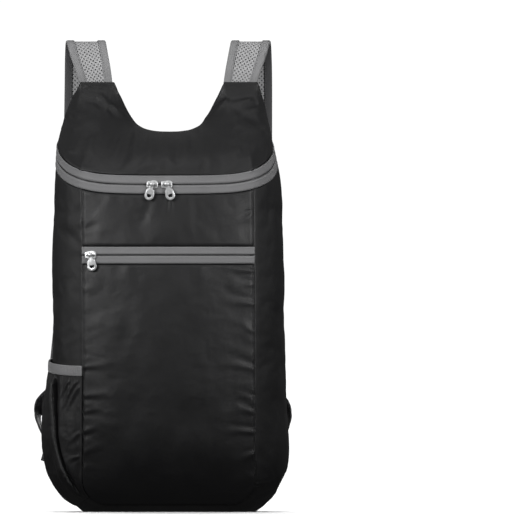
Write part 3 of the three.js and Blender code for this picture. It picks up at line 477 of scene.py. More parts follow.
class Recipe:
    """A new material, its shader, and one way to add any other node."""

    def __init__(self, name):
        self.material = bpy.data.materials.new(name)
        self.material.use_nodes = True
        self.tree = self.material.node_tree
        self.shader = self.tree.nodes["Principled BSDF"]

    def node(self, kind, settings=None, inputs=None, output=0):
        made = self.tree.nodes.new(kind)
        for key, value in (settings or {}).items():
            setattr(made, key, value)
        for key, value in (inputs or {}).items():
            self.feed(made.inputs[key], value)
        return Wire(self, made.outputs[output])

    def feed(self, socket, value):
        if isinstance(value, Wire):
            self.tree.links.new(value.socket, socket)
        else:
            socket.default_value = value

    def sum(self, operation, *values):
        return self.node("ShaderNodeMath", {"operation": operation}, dict(enumerate(values)))

    def set(self, **values):
        for key, value in values.items():
            self.feed(self.shader.inputs[key.replace("_", " ")], value)
        return self

    def place(self):
        return self.node("ShaderNodeTexCoord", output="Object")

    def cut(self):
        """Lengths over the cloth in metres, across and along."""
        split = self.node("ShaderNodeSeparateXYZ", None, {0: self.node("ShaderNodeUVMap", {"uv_map": "cut"})})
        return split, Wire(self, split.socket.node.outputs[1])

    def noise(self, size_mm, where=None, detail=2.0, rough=0.5):
        inputs = {"Vector": where or self.place(), "Scale": 1000.0 / size_mm, "Detail": detail, "Roughness": rough}
        return self.node("ShaderNodeTexNoise", None, inputs)

    def wave(self, length, pitch_mm):
        return self.sum("SINE", length * (2000.0 * math.pi / pitch_mm)) * 0.5 + 0.5

    def tint(self, share, dark, light):
        return self.node("ShaderNodeMix", {"data_type": "RGBA"}, {0: share, 6: (*dark, 1), 7: (*light, 1)}, output=2)

    def bump(self, height, distance_mm, strength=1.0):
        return self.node("ShaderNodeBump", None,
                         {"Height": height, "Distance": distance_mm * MM, "Strength": strength}, output=0)


# %% [markdown]
# ## Finishes
#
# Black nylon is nearly black in colour, and what the eye reads is its soft sheen on the folds: a middling
# roughness, a weave too fine to see except as a grain, and a crumple. The grey trims are woven too, each
# with ribs at its own pitch. Ribs come from waves on the cloth's own lengths, so they follow every bend.

# %% Cloth and trims
def woven(name, dark, light, rough, across_mm, along_mm, depth_mm, crease_mm=0.0):
    recipe = Recipe(name)
    across, along = recipe.cut()
    warp, weft = recipe.wave(across, across_mm), recipe.wave(along, along_mm)
    weave = warp * weft + (1 - warp) * (1 - weft)
    broad = recipe.noise(26.0, detail=3.0)
    grain = recipe.noise(1.1, detail=1.0)
    recipe.set(Base_Color=recipe.tint(broad * 0.6 + grain * 0.4, dark, light),
               Roughness=rough + (broad - 0.5) * 0.16 + (weave - 0.5) * 0.06)
    height = weave * depth_mm + grain * (depth_mm * 0.3)
    if crease_mm:
        crease = recipe.noise(9.0, detail=3.0, rough=0.55)
        height = height + crease * crease_mm
    recipe.set(Normal=recipe.bump(height, 1.0))
    return recipe.material


black_nylon = woven("black nylon", (0.0045, 0.0045, 0.005), (0.0075, 0.0075, 0.008), 0.46, 0.9, 0.9, 0.035, 0.2)
black_nylon.node_tree.nodes["Principled BSDF"].inputs["Specular IOR Level"].default_value = 0.32
zip_tape = woven("grey zip tape", (0.115, 0.115, 0.118), (0.17, 0.17, 0.173), 0.78, 1.1, 1.6, 0.09)
elastic = woven("ribbed elastic", (0.15, 0.15, 0.154), (0.22, 0.22, 0.224), 0.8, 1.4, 2.2, 0.16)
grosgrain = woven("grosgrain binding", (0.18, 0.18, 0.183), (0.27, 0.27, 0.274), 0.8, 2.0, 1.3, 0.14)
# The binding's half on the strap's lining face is the same grosgrain made darker: painted shade.
binding_painted_shade = woven("inner binding", (0.06, 0.06, 0.062), (0.1, 0.1, 0.103), 0.82, 2.0, 1.3, 0.14)
net_thread = woven("mesh thread", (0.3, 0.3, 0.304), (0.46, 0.46, 0.465), 0.75, 0.7, 0.7, 0.08)
backing = woven("mesh backing", (0.08, 0.08, 0.082), (0.13, 0.13, 0.134), 0.85, 0.9, 0.9, 0.06)
webbing = woven("black webbing", (0.008, 0.008, 0.009), (0.02, 0.02, 0.022), 0.6, 1.5, 2.6, 0.2)
grey_thread = woven("grey thread", (0.12, 0.12, 0.125), (0.2, 0.2, 0.205), 0.6, 0.4, 0.8, 0.05)


def plated(name):
    recipe = Recipe(name)
    worn = recipe.noise(1.6, detail=4.0)
    recipe.set(Base_Color=recipe.tint(worn, (0.46, 0.465, 0.47), (0.68, 0.685, 0.69)), Metallic=0.7,
               Roughness=0.36 + (worn - 0.5) * 0.2, Normal=recipe.bump(recipe.noise(0.7), 0.02))
    return recipe.material


def moulded(name, dark, light, rough):
    recipe = Recipe(name)
    grain = recipe.noise(0.8, detail=3.0)
    recipe.set(Base_Color=recipe.tint(recipe.noise(7.0), dark, light), Roughness=rough + (grain - 0.5) * 0.15,
               Normal=recipe.bump(grain, 0.05))
    return recipe.material


nickel = plated("nickel plate")
black_plastic = moulded("black moulded plastic", (0.008, 0.008, 0.009), (0.018, 0.018, 0.02), 0.42)
coil_nylon = moulded("grey nylon coil", (0.03, 0.03, 0.031), (0.06, 0.06, 0.062), 0.5)

# %% [markdown]
# ## The front
#
# Two panels meet the pocket zip. They are grids over the front surface, raised by their folds. Along each
# seam the cloth turns in, which is what draws the thin dark line there, and puckers start from it where the
# needle gathered the cloth.

# %% Front panels
def eased(grid, reach, share):
    """The grid drawn smooth along its first direction, by a share that is 0 where an edge has to stay."""
    weight = np.exp(-((np.arange(-2 * reach, 2 * reach + 1) / reach) ** 2))
    weight /= weight.sum()
    before, after = 2 * grid[:1] - grid[2 * reach:0:-1], 2 * grid[-1:] - grid[-2:-2 * reach - 2:-1]
    longer = np.concatenate([before, grid, after])
    smooth = sum(w * longer[k:k + len(grid)] for k, w in enumerate(weight))
    return mix(grid, smooth, share[..., None])


FRONT_FOLDS = seen([
    (255, 271, 222, 268, 1.5, 3.2), (255, 285, 236, 284, 0.7, 2.6), (255, 304, 222, 301, 1.1, 3.6),
    (255, 332, 240, 324, 1.0, 4.0), (256, 369, 216, 360, 1.1, 4.0), (256, 399, 236, 394, 1.0, 3.0),
    (256, 413, 232, 405, 1.1, 3.2), (257, 432, 224, 430, 1.2, 3.2), (257, 452, 238, 461, 1.1, 3.4),
    (257, 478, 243, 472, 0.9, 3.0), (83, 367, 108, 364, 0.8, 3.0), (83, 396, 112, 392, 1.0, 3.2),
    (83, 412, 104, 407, 0.8, 2.8), (83, 432, 100, 425, 1.1, 3.0), (84, 452, 112, 440, 0.7, 4.0),
    (128, 266, 124, 300, 0.5, 7.0), (200, 266, 208, 310, 0.5, 8.0), (100, 330, 130, 500, 0.7, 11.0),
])
UPPER_FOLDS = seen([
    (171, 197, 171, 216, -1.1, 2.2), (157, 194, 153, 232, 0.5, 5.0), (252, 214, 238, 224, 0.9, 3.0),
    (187, 194, 190, 236, 0.45, 6.0), (84, 226, 100, 214, 0.6, 3.5), (110, 193, 104, 240, 0.4, 7.0),
])


def panel_foot(x):
    past = np.maximum(np.abs(x) - (HALF_PANEL - PANEL_CORNER), 0)
    return SEAM_LIFT + PANEL_CORNER - np.sqrt(np.maximum(PANEL_CORNER**2 - past**2, 0))


def front_sheet(name, node, low, high, rows, fold_rows, seed):
    u = np.linspace(0, 1, 129)
    v = np.linspace(0, 1, rows)
    u, v = np.meshgrid(u, v, indexing="ij")
    x = HALF_PANEL * (0.35 * np.sin((u - 0.5) * math.pi) + 0.65 * (2 * u - 1))
    grid = front_point(x, mix(low(x), high(x), v))
    z = grid[..., 2]
    side = HALF_PANEL - np.abs(x)
    ends = np.minimum(z - low(x), high(x) - z)
    inner = 1 - np.exp(-((np.minimum(side, ends + 3) / 16) ** 2))
    firm = np.clip((z - 24) / 40, 0.25, 1)
    height = 0.75 * folds(grid[..., 0], z, fold_rows) + (groove(side) + groove(ends, 0.9, 1.8)) * firm
    height += inner * (0.45 * lumps(x, z, 34, seed) + 0.18 * lumps(x, z * 0.6, 15, seed + 3))
    height += 0.08 * crumple(x, z, 17, seed + 5) * inner
    height += 0.25 * np.exp(-side / 9) * lumps(x * 0.3, z, 7, seed + 9)
    front = (0, -1, 0)
    piece = grid_mesh(name, draped(grid, height, front, 0.2, 0.012), front, black_nylon)
    put(wall(piece, 0.8), [node])
    return piece


pocket_low = lambda x: np.full_like(x, POCKET_ZIP_HEIGHT - POCKET_ZIP_WIDTH / 2 - GAP)
pocket_high = lambda x: np.full_like(x, POCKET_ZIP_HEIGHT + POCKET_ZIP_WIDTH / 2 + GAP)
zip_low = lambda x: zip_point(np.sign(x), np.abs(x) / HALF_PANEL, -1)[..., 2] - GAP
front_sheet("front_pocket_cloth", "front_pocket_panel", panel_foot, pocket_low, 177, FRONT_FOLDS,
            11)
front_sheet("front_upper_cloth", "front_upper_panel", pocket_high, zip_low, 45, UPPER_FOLDS, 23)

# %% [markdown]
# ## The band
#
# One long strip of cloth runs down a side, under the bag and up the other side. It is the sum of two solids
# for the sides and one for the bottom, so its sheet replaces all three. Short folds start at its two seams,
# and it is let out a little at the foot, where the filled corners of the bag stand fullest.

# %% The band of cloth round the sides and the bottom
def side_folds(depth, climb, seed, count=26):
    """Short folds that start at the two seams of the strip, at random heights with a fixed seed."""
    rng = np.random.default_rng(seed)
    rows = []
    for _ in range(count):
        from_front = rng.random() < 0.55
        start = -2.0 if from_front else 122.0
        end = start + (1 if from_front else -1) * rng.uniform(18, 52)
        foot = rng.uniform(-10, 400)
        slope, rise, width = rng.uniform(-16, 16), rng.uniform(0.3, 0.8), rng.uniform(2.6, 5.0)
        rows.append((start, foot, end, foot + slope, rise, width))
    return folds(depth, climb, rows)


def band():
    run = np.concatenate([np.linspace(0, 1, 171), np.linspace(1, 2, 41)[1:], np.linspace(2, 3, 37)[1:]])
    run, t = np.meshgrid(run, np.linspace(0, 1, 65), indexing="ij")
    edge = np.minimum(t, 1 - t) * BODY_DEPTH
    inner = 1 - np.exp(-((edge / 18) ** 2))
    corner = np.exp(-(((run - 1.45) / 0.75) ** 4)) * inner
    grids, outs, heights = [], [], []
    for side, seed in ((-1.0, 31), (1.0, 43)):
        depth, climb = t * BODY_DEPTH, 400 - run * 200
        angle = np.clip(run - 1, 0, 1) * math.pi / 2
        height = side_folds(depth, climb, seed) * np.clip(2.2 - run, 0, 1)
        height = height + inner * (0.7 * lumps(depth, climb, 42, seed) + 0.4 * lumps(depth, climb, 19, seed + 2))
        height = height + inner * 0.15 * crumple(depth, climb, 15, seed + 4)
        height = height + groove(edge, 1.3, 2.4) * np.clip(2.1 - run, 0.3, 1)
        height = height * (1 - 0.85 * np.clip(run - 1.8, 0, 1))
        filled_corner = 4.0 * inner * np.exp(-(((run - 1.8) / 0.26) ** 2))
        heights.append(height + filled_corner)
        outs.append(points(side * np.cos(angle), 0, -np.sin(angle)))
        grids.append(eased(band_point(side, run, t), 10, corner))
    left, right = (np.concatenate([rows[0], rows[1][::-1][1:]]) for rows in (grids, outs))
    height = np.concatenate([heights[0], heights[1][::-1][1:]])
    grid = draped(left, height, right, 0.3, 0.014)
    grid[..., 2] = np.maximum(grid[..., 2], 0.05)
    return grid, right


band_grid, band_out = band()
band_cloth = grid_mesh("side_and_bottom_cloth", band_grid, band_out, black_nylon)
put(wall(band_cloth, 0.8), ["gusset_left", "bottom_panel", "gusset_right"])

# %% [markdown]
# ## The lid and the back
#
# The lid climbs from the zip to the neck and the two horns. Folds run in arcs round the horns, where the
# straps pull, and drop softly from the neck. The back is one plain panel that the wearer leans on.

# %% Lid and back
LID_FOLDS = seen([
    (112, 106, 134, 124, 2.0, 3.4), (100, 96, 122, 118, 1.1, 4.6), (84, 92, 112, 98, 1.1, 4.0),
    (66, 112, 104, 126, 1.0, 5.5), (72, 128, 108, 118, 0.9, 6.0), (226, 100, 200, 124, 2.0, 3.4),
    (250, 99, 218, 108, 1.1, 4.0), (258, 108, 226, 118, 1.1, 4.4), (262, 130, 232, 122, 0.9, 5.0),
    (137, 128, 132, 166, 1.0, 4.5), (151, 131, 149, 170, 0.8, 3.6), (166, 132, 167, 166, 0.9, 4.2),
    (184, 131, 187, 168, 0.9, 4.8), (199, 127, 206, 164, 1.0, 5.0), (120, 140, 112, 172, 0.7, 4.5),
    (70, 150, 96, 152, 0.7, 4.0), (240, 150, 216, 158, 0.6, 5.0), (92, 138, 84, 168, 0.8, 4.6),
])


def lid():
    place = np.linspace(-LID_END, LID_END, LID_END * 2 * 9 + 1)
    place, v = np.meshgrid(place, np.linspace(0, 1, 61), indexing="ij")
    grid = eased(lid_point(place, v), 9, hump(v) ** 0.7)
    x, z = grid[..., 0], grid[..., 2]
    span = np.linalg.norm(grid[:, -1] - grid[:, 0], axis=-1)[:, None]
    edge = np.minimum(v, 1 - v) * span
    outer = (LID_END - np.abs(place)) * 6
    inner = 1 - np.exp(-((np.minimum(edge, outer + 2) / 14) ** 2))
    height = 1.5 * folds(x, z, LID_FOLDS) * inner + groove(v * span, 1.0, 1.8)
    billows = 0.6 * lumps(x, z, 34, 51) + 0.3 * lumps(x, z * 0.4, 12, 53)
    height += inner * (billows + 0.12 * crumple(x, z, 17, 57))
    out = points(np.sign(place) * 0.3, -1, 1)
    row = np.abs(place)
    horn = np.clip((row - HORN_IN + 0.6) * 3, 0, 1) * np.clip((HORN_OUT + 0.3 - row) * 3, 0, 1)
    grid = draped(grid, height, out, 0.7, 0.012)
    grid += points(0, -1.6, 1.6) * (horn * np.clip(1 - (1 - v) * span / 5, 0, 1))[..., None]
    piece = grid_mesh("lid_cloth", grid, out, black_nylon)
    put(wall(piece, 0.8), ["lid_panel"])


BACK_SEAM_WALL = CLOTH_WALL + BUTT_GAP - 0.1


def back():
    place = np.linspace(-LID_END, LID_END, LID_END * 2 * 5 + 1)
    level = np.concatenate([np.linspace(0, 0.1, 25), np.linspace(0.1, 1, 131)[1:], np.linspace(1, 2, 31)[1:]])
    place, level = np.meshgrid(place, level, indexing="ij")
    grid = back_point(place, level)
    x, z = grid[..., 0], grid[..., 2]
    share = np.abs(place) / LID_END
    inner = (1 - share**6) * np.clip(level * 12, 0, 1) * np.clip((2 - level) * 3, 0, 1)
    height = inner * (0.8 * lumps(x, z, 46, 61) + 0.4 * lumps(x, z, 19, 63) + 0.2 * crumple(x, z, 17, 67))
    height = height + groove((1 - share) * HALF_BACK, 1.2, 2.6)
    rear = (0, 1, 0)
    piece = grid_mesh("back_cloth", draped(grid, height, rear, 0.7, 0.01), rear, black_nylon)
    put(wall(piece, BACK_SEAM_WALL), ["back_panel"])


lid()
back()

# %% [markdown]
# ## The side pocket
#
# A piece of cloth wider than the gusset is gathered under an elastic hem. The gathers radiate down from the
# hem, and between the two swells the cloth sinks into a deep crease that curves to the bottom corner.

# %% Side pocket and its hem
POCKET_HEIGHT, POCKET_FULLNESS, POCKET_WALL, POCKET_FOOT = 149.0, 8.0, 1.3, 17.0
HEM_HEIGHT, HEM_WALL, HEM_SLOPE, POCKET_MARGIN, POCKET_SEAT = 11.5, 2.6, 10.0, 0.03, 0.7
POCKET_SEAM, HEM_PULL, POCKET_CLEAR, POCKET_SPAN = 0.004, 0.7, 0.6, 110
GATHERS = [(3, 120, 17, 94, 1.3, 1.9), (7, 124, 27, 90, 1.1, 1.8), (15, 125, 31, 104, 1.0, 1.6),
           (2, 70, 12, 58, 0.8, 2.2), (3, 44, 15, 40, 0.7, 2.0)]
CREASE = ([0, 0.045, 0.11, 0.19, 0.41, 0.71, 1, 1.12], [0.06, 0.085, 0.12, 0.17, 0.27, 0.335, 0.38, 0.39])
SWELL = ([0, 0.1, 0.22, 0.34, 0.42, 0.56, 0.74, 0.9, 1], [0, 0.18, 0.3, 0.28, 0.62, 1, 0.9, 0.42, 0])
RISE = ([0, 0.03, 0.07, 0.12, 0.19, 0.28, 0.4, 0.53, 0.68, 0.8, 0.9, 1, 1.12],
        [0.0, 0.04, 0.09, 0.15, 0.28, 0.5, 0.78, 0.96, 0.96, 0.86, 0.74, 0.64, 0.62])


def skin_below(t, height):
    corner = SEAM_LIFT + mix(PANEL_CORNER, BACK_CORNER, t)
    sine = np.clip((corner - height) / (corner - SEAM_LIFT), 0, 1)
    low = band_point(-1.0, 1 + np.arcsin(sine) / (math.pi / 2), t)
    return np.where((height >= corner)[..., None], gusset_point(-1.0, height, t, BUTT_GAP), low)


def pocket_point(round_, up, depth, slide=0.0):
    """A place on the pocket: depth stands out from its loose shape, and slide moves cloth to the front."""
    t = mix(POCKET_SEAM, 1 - POCKET_MARGIN, round_)
    height = POCKET_FOOT + up * (POCKET_HEIGHT - POCKET_FOOT) + HEM_SLOPE * round_**1.6 * up
    place = skin_below(t, height)
    across = skin_below(np.minimum(t + 0.01, 1), height) - skin_below(np.maximum(t - 0.01, 0), height)
    climb = skin_below(t, height + 1) - skin_below(t, height - 1)
    normal = np.cross(across, climb)
    normal /= np.linalg.norm(normal, axis=-1, keepdims=True)
    normal = np.where(normal[..., :1] > 0, -normal, normal)
    loose = POCKET_FULLNESS * through(*SWELL, round_) * through(*RISE, up)
    loose = loose * (1 - HEM_PULL * np.clip((up - 0.72) / 0.28, 0, 1) ** 2)
    near = np.minimum(np.minimum(round_, 1 - round_) * BODY_DEPTH, up * POCKET_HEIGHT)
    seat = (GAP + POCKET_SEAT + POCKET_WALL) * mix(0.3, 1, np.clip(near / 7, 0, 1))
    across /= np.linalg.norm(across, axis=-1, keepdims=True)
    stand = np.maximum(seat + loose + depth, POCKET_CLEAR)
    return place + normal * stand[..., None] - across * np.asarray(slide)[..., None]


def pocket_gathers(round_, up):
    """Gathers that fan down from the hem, each fading at a depth of its own."""
    rng = np.random.default_rng(3)
    height = np.zeros_like(round_)
    for k in range(30):
        start = 0.38 + 0.6 * (k + rng.uniform(0.1, 0.9)) / 30 if k % 4 else rng.uniform(0.02, 0.3)
        slant = -0.34 * start + rng.uniform(-0.05, 0.08)
        deep = rng.uniform(0.25, 0.8)
        wide = 0.009 + 0.03 * (1 - up)
        ridge = np.exp(-(((round_ - start - slant * (1 - up)) / wide) ** 2))
        height += ridge * np.clip((up - 1 + deep) / deep, 0, 1) ** 1.3
    return height


def side_pocket():
    round_, up = np.meshgrid(np.linspace(0, 1, 151), np.linspace(0, 1, 111), indexing="ij")
    along, climb = round_ * POCKET_SPAN, up * 140
    past = (round_ - through(*CREASE, up)) * POCKET_SPAN
    reach = np.clip((up - 0.02) * 9, 0, 1) * np.clip((1.0 - up) * 14, 0, 1)
    lip = 4.2 * np.clip((past + 1) / 3.5, 0, 1) * np.exp(-((np.maximum(past - 3, 0) / 9) ** 2))
    crease = (lip - 5.5 * np.exp(-(((past + 1) / 2.4) ** 2))) * reach
    slide = 5.5 * np.exp(-(((past - 3) / 2.6) ** 2)) * reach
    edge = np.minimum(np.minimum(round_, 1 - round_), up) * POCKET_SPAN
    inner = 1 - np.exp(-((edge / 9) ** 2))
    depth = inner * (1.1 * pocket_gathers(round_, up) + 0.3 * lumps(along, climb, 17, 71)) + crease
    depth += folds(along, up * (POCKET_HEIGHT - POCKET_FOOT), GATHERS)
    depth += 0.15 * inner * crumple(along, climb, 12, 73) - 1.2 * np.exp(-((along / 4) ** 2))
    flat = pocket_point(round_, up, depth, slide)
    out = np.broadcast_to((-1.0, -0.4, 0.0), flat.shape)
    loose_cloth = draped(flat, 0 * depth, out, 0.3, 0.03, 1.5, 2.0)
    piece = grid_mesh("side_pocket_cloth", loose_cloth, out, black_nylon)
    put(wall(piece, 0.9), ["side_pocket"])
    span = HEM_HEIGHT / (POCKET_HEIGHT - POCKET_FOOT)
    round_, v = np.meshgrid(np.linspace(0, 1, 241), np.linspace(0, 1, 15), indexing="ij")
    ribs = 0.3 * np.cos(round_ * 2 * math.pi * 46) * hump(v) ** 0.5
    stand = HEM_WALL - POCKET_WALL + ribs + 0.5 * hump(v) ** 0.4 - 0.5
    lip = pocket_point(round_, 1 + 0.002 + v * span, stand)
    hem = grid_mesh("pocket_hem_elastic", lip, (-1, -0.4, 0), elastic)
    put(wall(hem, 2.0), ["side_pocket_hem"])


side_pocket()

# %% [markdown]
# ## Zips
#
# A coil zip sewn in face down shows two woven tapes with a thin slit between them, and a glint of the coil
# in the slit. Each tape is a strip over the zip's surface with a softly folded edge. The coil's turns are
# one small bar repeated every millimetre and a half, so Geometry Nodes set them along the slit.

# %% Zip tapes
def main_zip_place(along, up):
    signed = mix(-2.0, 2.0, along)
    return zip_point(np.where(signed < 0, -1.0, 1.0), np.abs(signed), up)


def pocket_zip_place(along, up):
    return front_point(mix(-HALF_PANEL, HALF_PANEL, along), POCKET_ZIP_HEIGHT + up * POCKET_ZIP_WIDTH / 2)


def tape(name, node, place, low, high, count, outward):
    along, share = np.meshgrid(np.linspace(0, 1, count), np.linspace(0, 1, 13), indexing="ij")
    slit = share if abs(low) < 0.2 else 1 - share
    grid = place(along, mix(low, high, share))
    if outward is around:
        grid = eased(grid, 5, np.exp(-(((np.abs(along * 4 - 2) - 1) / 0.16) ** 2)))
    x = along * count * 1.6
    height = 0.35 - 0.9 * np.exp(-((slit * 9 / 0.9) ** 2)) + 0.22 * np.exp(-(((slit * 9 - 1.9) / 0.9) ** 2))
    hem_edge = 0.45 * np.exp(-((((1 - slit) * 9) / 0.8) ** 2))
    height = height + 0.16 * lumps(x, share * 9, 14, len(name)) - hem_edge
    out = outward(grid)
    piece = grid_mesh(name, raised(grid, height, out), out, zip_tape)
    put(wall(piece, 0.7), [node])
    return piece


forward = lambda grid: np.broadcast_to((0.0, -1.0, 0.0), grid.shape)
around = lambda grid: points(grid[..., 0] / 90, -1 + np.abs(grid[..., 0]) / 130, 0)
tape("main_zip_upper", "main_zip_upper_tape", main_zip_place, 0.05, 1.0, 261, around)
tape("main_zip_lower", "main_zip_lower_tape", main_zip_place, -1.0, -0.05, 261, around)
tape("pocket_zip_upper", "pocket_zip_upper_tape", pocket_zip_place, 0.054, 1.0, 121, forward)
tape("pocket_zip_lower", "pocket_zip_lower_tape", pocket_zip_place, -1.0, -0.054, 121, forward)

# %% [markdown]
# ## Geometry Nodes for what repeats
#
# Stitches, coil turns and the holes of the mesh are all one small form repeated along a path or a surface.
# The trees below take a path or a surface and named sizes, and end in Realize Instances and Set Material,
# because what is exported is a plain mesh.

# %% Trees
def tree(name, inputs):
    group = bpy.data.node_groups.new(name, "GeometryNodeTree")
    group.interface.new_socket("Geometry", in_out="INPUT", socket_type="NodeSocketGeometry")
    for label, kind in inputs:
        group.interface.new_socket(label, in_out="INPUT", socket_type=kind)
    group.interface.new_socket("Geometry", in_out="OUTPUT", socket_type="NodeSocketGeometry")
    source, sink = group.nodes.new("NodeGroupInput"), group.nodes.new("NodeGroupOutput")

    def add(kind, settings=None, **values):
        node = group.nodes.new(kind)
        for key, value in (settings or {}).items():
            setattr(node, key, value)
        for key, value in values.items():
            socket = node.inputs[key.replace("_", " ")]
            if isinstance(value, bpy.types.NodeSocket):
                group.links.new(value, socket)
            else:
                socket.default_value = value
        return node

    return group, source.outputs, sink.inputs, add


def repeated_tree():
    """A small rounded bar every pitch along a path, lying along the path or across it."""
    group, given, out, add = tree("Repeat along a path", [
        ("Pitch", "NodeSocketFloat"), ("Bar", "NodeSocketVector"), ("Turn", "NodeSocketVector"),
        ("Finish", "NodeSocketMaterial")])
    curve = add("GeometryNodeMeshToCurve", Mesh=given["Geometry"])
    level_ = add("GeometryNodeSetCurveNormal", {"mode": "Z_UP"}, Curve=curve.outputs[0])
    dots = add("GeometryNodeCurveToPoints", {"mode": "LENGTH"}, Curve=level_.outputs[0], Length=given["Pitch"])
    bar = add("GeometryNodeMeshUVSphere", Segments=6, Rings=4, Radius=0.5)
    shaped = add("GeometryNodeTransform", Geometry=bar.outputs[0], Scale=given["Bar"], Rotation=given["Turn"])
    smooth = add("GeometryNodeSetShadeSmooth", Geometry=shaped.outputs[0])
    each = add("GeometryNodeInstanceOnPoints", Points=dots.outputs["Points"], Instance=smooth.outputs[0],
               Rotation=dots.outputs["Rotation"])
    real = add("GeometryNodeRealizeInstances", Geometry=each.outputs[0])
    finish = add("GeometryNodeSetMaterial", Geometry=real.outputs[0], Material=given["Finish"])
    group.links.new(finish.outputs[0], out["Geometry"])
    return group


def net_tree():
    """Every face of a surface becomes a ring of four threads round a hole, with a depth."""
    group, given, out, add = tree("Holes in every face", [
        ("Hole", "NodeSocketFloat"), ("Depth", "NodeSocketFloat"), ("Finish", "NodeSocketMaterial")])
    inset = add("GeometryNodeExtrudeMesh", {"mode": "FACES"}, Mesh=given["Geometry"], Offset_Scale=0.0,
                Individual=True)
    shrunk = add("GeometryNodeScaleElements", {"domain": "FACE"}, Geometry=inset.outputs["Mesh"],
                 Selection=inset.outputs["Top"], Scale=given["Hole"])
    rings = add("GeometryNodeDeleteGeometry", {"domain": "FACE"}, Geometry=shrunk.outputs[0],
                Selection=inset.outputs["Top"])
    joined = add("GeometryNodeMergeByDistance", Geometry=rings.outputs[0], Distance=0.00001)
    thick = add("GeometryNodeExtrudeMesh", {"mode": "FACES"}, Mesh=joined.outputs[0], Offset_Scale=given["Depth"],
                Individual=False)
    under = add("GeometryNodeFlipFaces", Mesh=joined.outputs[0])
    both = add("GeometryNodeJoinGeometry")
    group.links.new(thick.outputs["Mesh"], both.inputs[0])
    group.links.new(under.outputs[0], both.inputs[0])
    closed = add("GeometryNodeMergeByDistance", Geometry=both.outputs[0], Distance=0.00001)
    real = add("GeometryNodeRealizeInstances", Geometry=closed.outputs[0])
    finish = add("GeometryNodeSetMaterial", Geometry=real.outputs[0], Material=given["Finish"])
    group.links.new(finish.outputs[0], out["Geometry"])
    return group


REPEAT, NET = repeated_tree(), net_tree()


def grown(name, mesh, group, values):
    """Runs a tree on a mesh and keeps the result as a plain mesh, with no modifier left on it."""
    seed = bpy.data.objects.new(name + "_seed", mesh)
    bpy.context.scene.collection.objects.link(seed)
    modifier = seed.modifiers.new("tree", "NODES")
    modifier.node_group = group
    sockets = {item.name: item.identifier for item in group.interface.items_tree if item.in_out == "INPUT"}
    for label, value in values.items():
        modifier[sockets[label]] = value
    result = bpy.data.meshes.new_from_object(seed.evaluated_get(bpy.context.evaluated_depsgraph_get()))
    bpy.data.objects.remove(seed)
    result.name = name
    piece = bpy.data.objects.new(name, result)
    bpy.context.scene.collection.objects.link(piece)
    return piece


def path_mesh(name, paths):
    mesh = bpy.data.meshes.new(name + "_path")
    verts, edges = [], []
    for path in paths:
        first = len(verts)
        verts += (np.asarray(path) * MM).tolist()
        edges += [(first + k, first + k + 1) for k in range(len(path) - 1)]
    mesh.from_pydata(verts, edges, [])
    return mesh


def bars(name, paths, pitch, bar, finish, nodes, turn=(0.0, 0.0, 0.0)):
    values = {"Pitch": pitch * MM, "Bar": tuple(b * MM for b in bar), "Turn": turn, "Finish": finish}
    piece = grown(name, path_mesh(name, paths), REPEAT, values)
    return put(piece, nodes)


# %% Coils and stitches
along = np.linspace(0.012, 0.988, 400)
main_slit = main_zip_place(*np.meshgrid(along, [-0.02, 0.0, 0.02], indexing="ij"))
main_slit = raised(main_slit, np.full((400, 3), -1.9), around(main_slit))[:, 1]
pocket_slit = pocket_zip_place(along * 0.96 + 0.02, 0.0) + (0, 1.9, 0)
bars("main_zip_teeth", [main_slit], 1.5, (1.0, 4.6, 1.2), coil_nylon, ["main_zip_coil"])
bars("pocket_zip_teeth", [pocket_slit], 1.5, (1.0, 4.6, 1.2), coil_nylon, ["pocket_zip_coil"])

STITCH = (0.45, 0.5, 2.3)


def seam_path(place, up, rise, outward, count=300):
    """A row of stitches' path over a zip's tape, a little proud of it."""
    along_, up_ = np.meshgrid(np.linspace(0.015, 0.985, count), [up - 0.02, up, up + 0.02], indexing="ij")
    grid = place(along_, up_)
    return raised(grid, np.full(grid.shape[:2], rise), outward(grid))[:, 1]


for name, place, edge_, outward_ in (("main", main_zip_place, 0.86, around),
                                     ("pocket", pocket_zip_place, 0.86, forward)):
    rows = [seam_path(place, up, 0.5, outward_) for up in (edge_, -edge_)]
    bars(f"{name}_zip_stitches", rows, 3.1, STITCH, grey_thread, [])

# %% [markdown]
# ## Straps
#
# A strap leaves the top of a horn, loops over and hangs behind the back to a ladder lock. Its centre line is
# a curve through a few points, and every part of the strap is swept along frames on that line: a backing
# cloth, a net of threads on either face, and a binding tape folded over each edge.

# %% The line of a strap
STRAP_WIDTH, STRAP_WALL, STRAP_LOOP, STRAP_DROP, STRAP_STANDOFF = 43.0, 3.4, 46.0, 311.0, 48.0
BINDING_WIDTH, WEBBING_WIDTH, WEBBING_WALL, TAIL_LENGTH, LOCK_HEIGHT = 8.5, 20.0, 1.6, 84.0, 22.0
STRAP_ROUTE = {
    "up": [0, 0.37, 0.7, 0.935, 0.935, 0.6, 0.06, -0.12, -0.3, -0.5, -0.68, -0.85, -1],
    "back": [0, 0.01, 0.13, 0.34, 0.64, 0.86, 0.97, 1, 0.98, 0.9, 0.77, 0.63, 0.5],
    "left": [0.685, 0.717, 0.752, 0.775, 0.79, 0.797, 0.8, 0.805, 0.815, 0.832, 0.86, 0.9, 0.945],
    "right": [0.66, 0.695, 0.73, 0.755, 0.768, 0.776, 0.78, 0.78, 0.78, 0.785, 0.795, 0.81, 0.83],
    "wide": [0.84, 0.9, 0.96, 0.99, 1, 1, 1, 1, 1, 1, 1, 1, 0.96],
}
WEBBING_ROUTE = {
    "down": [0, 0.12, 0.23, 0.36, 0.5, 0.66, 0.82, 1],
    "back": [0.45, 0.43, 0.4, 0.36, 0.31, 0.26, 0.22, 0.168],
    "left": [0.975, 1.11, 1.2, 1.235, 1.215, 1.15, 1.06, 0.95],
    "right": [0.85, 0.965, 1.07, 1.12, 1.11, 1.06, 1.01, 0.935],
    "turn": [0, 0.1, 0.4, 0.8, 0.9, 0.85, 0.6, 0.1],
}
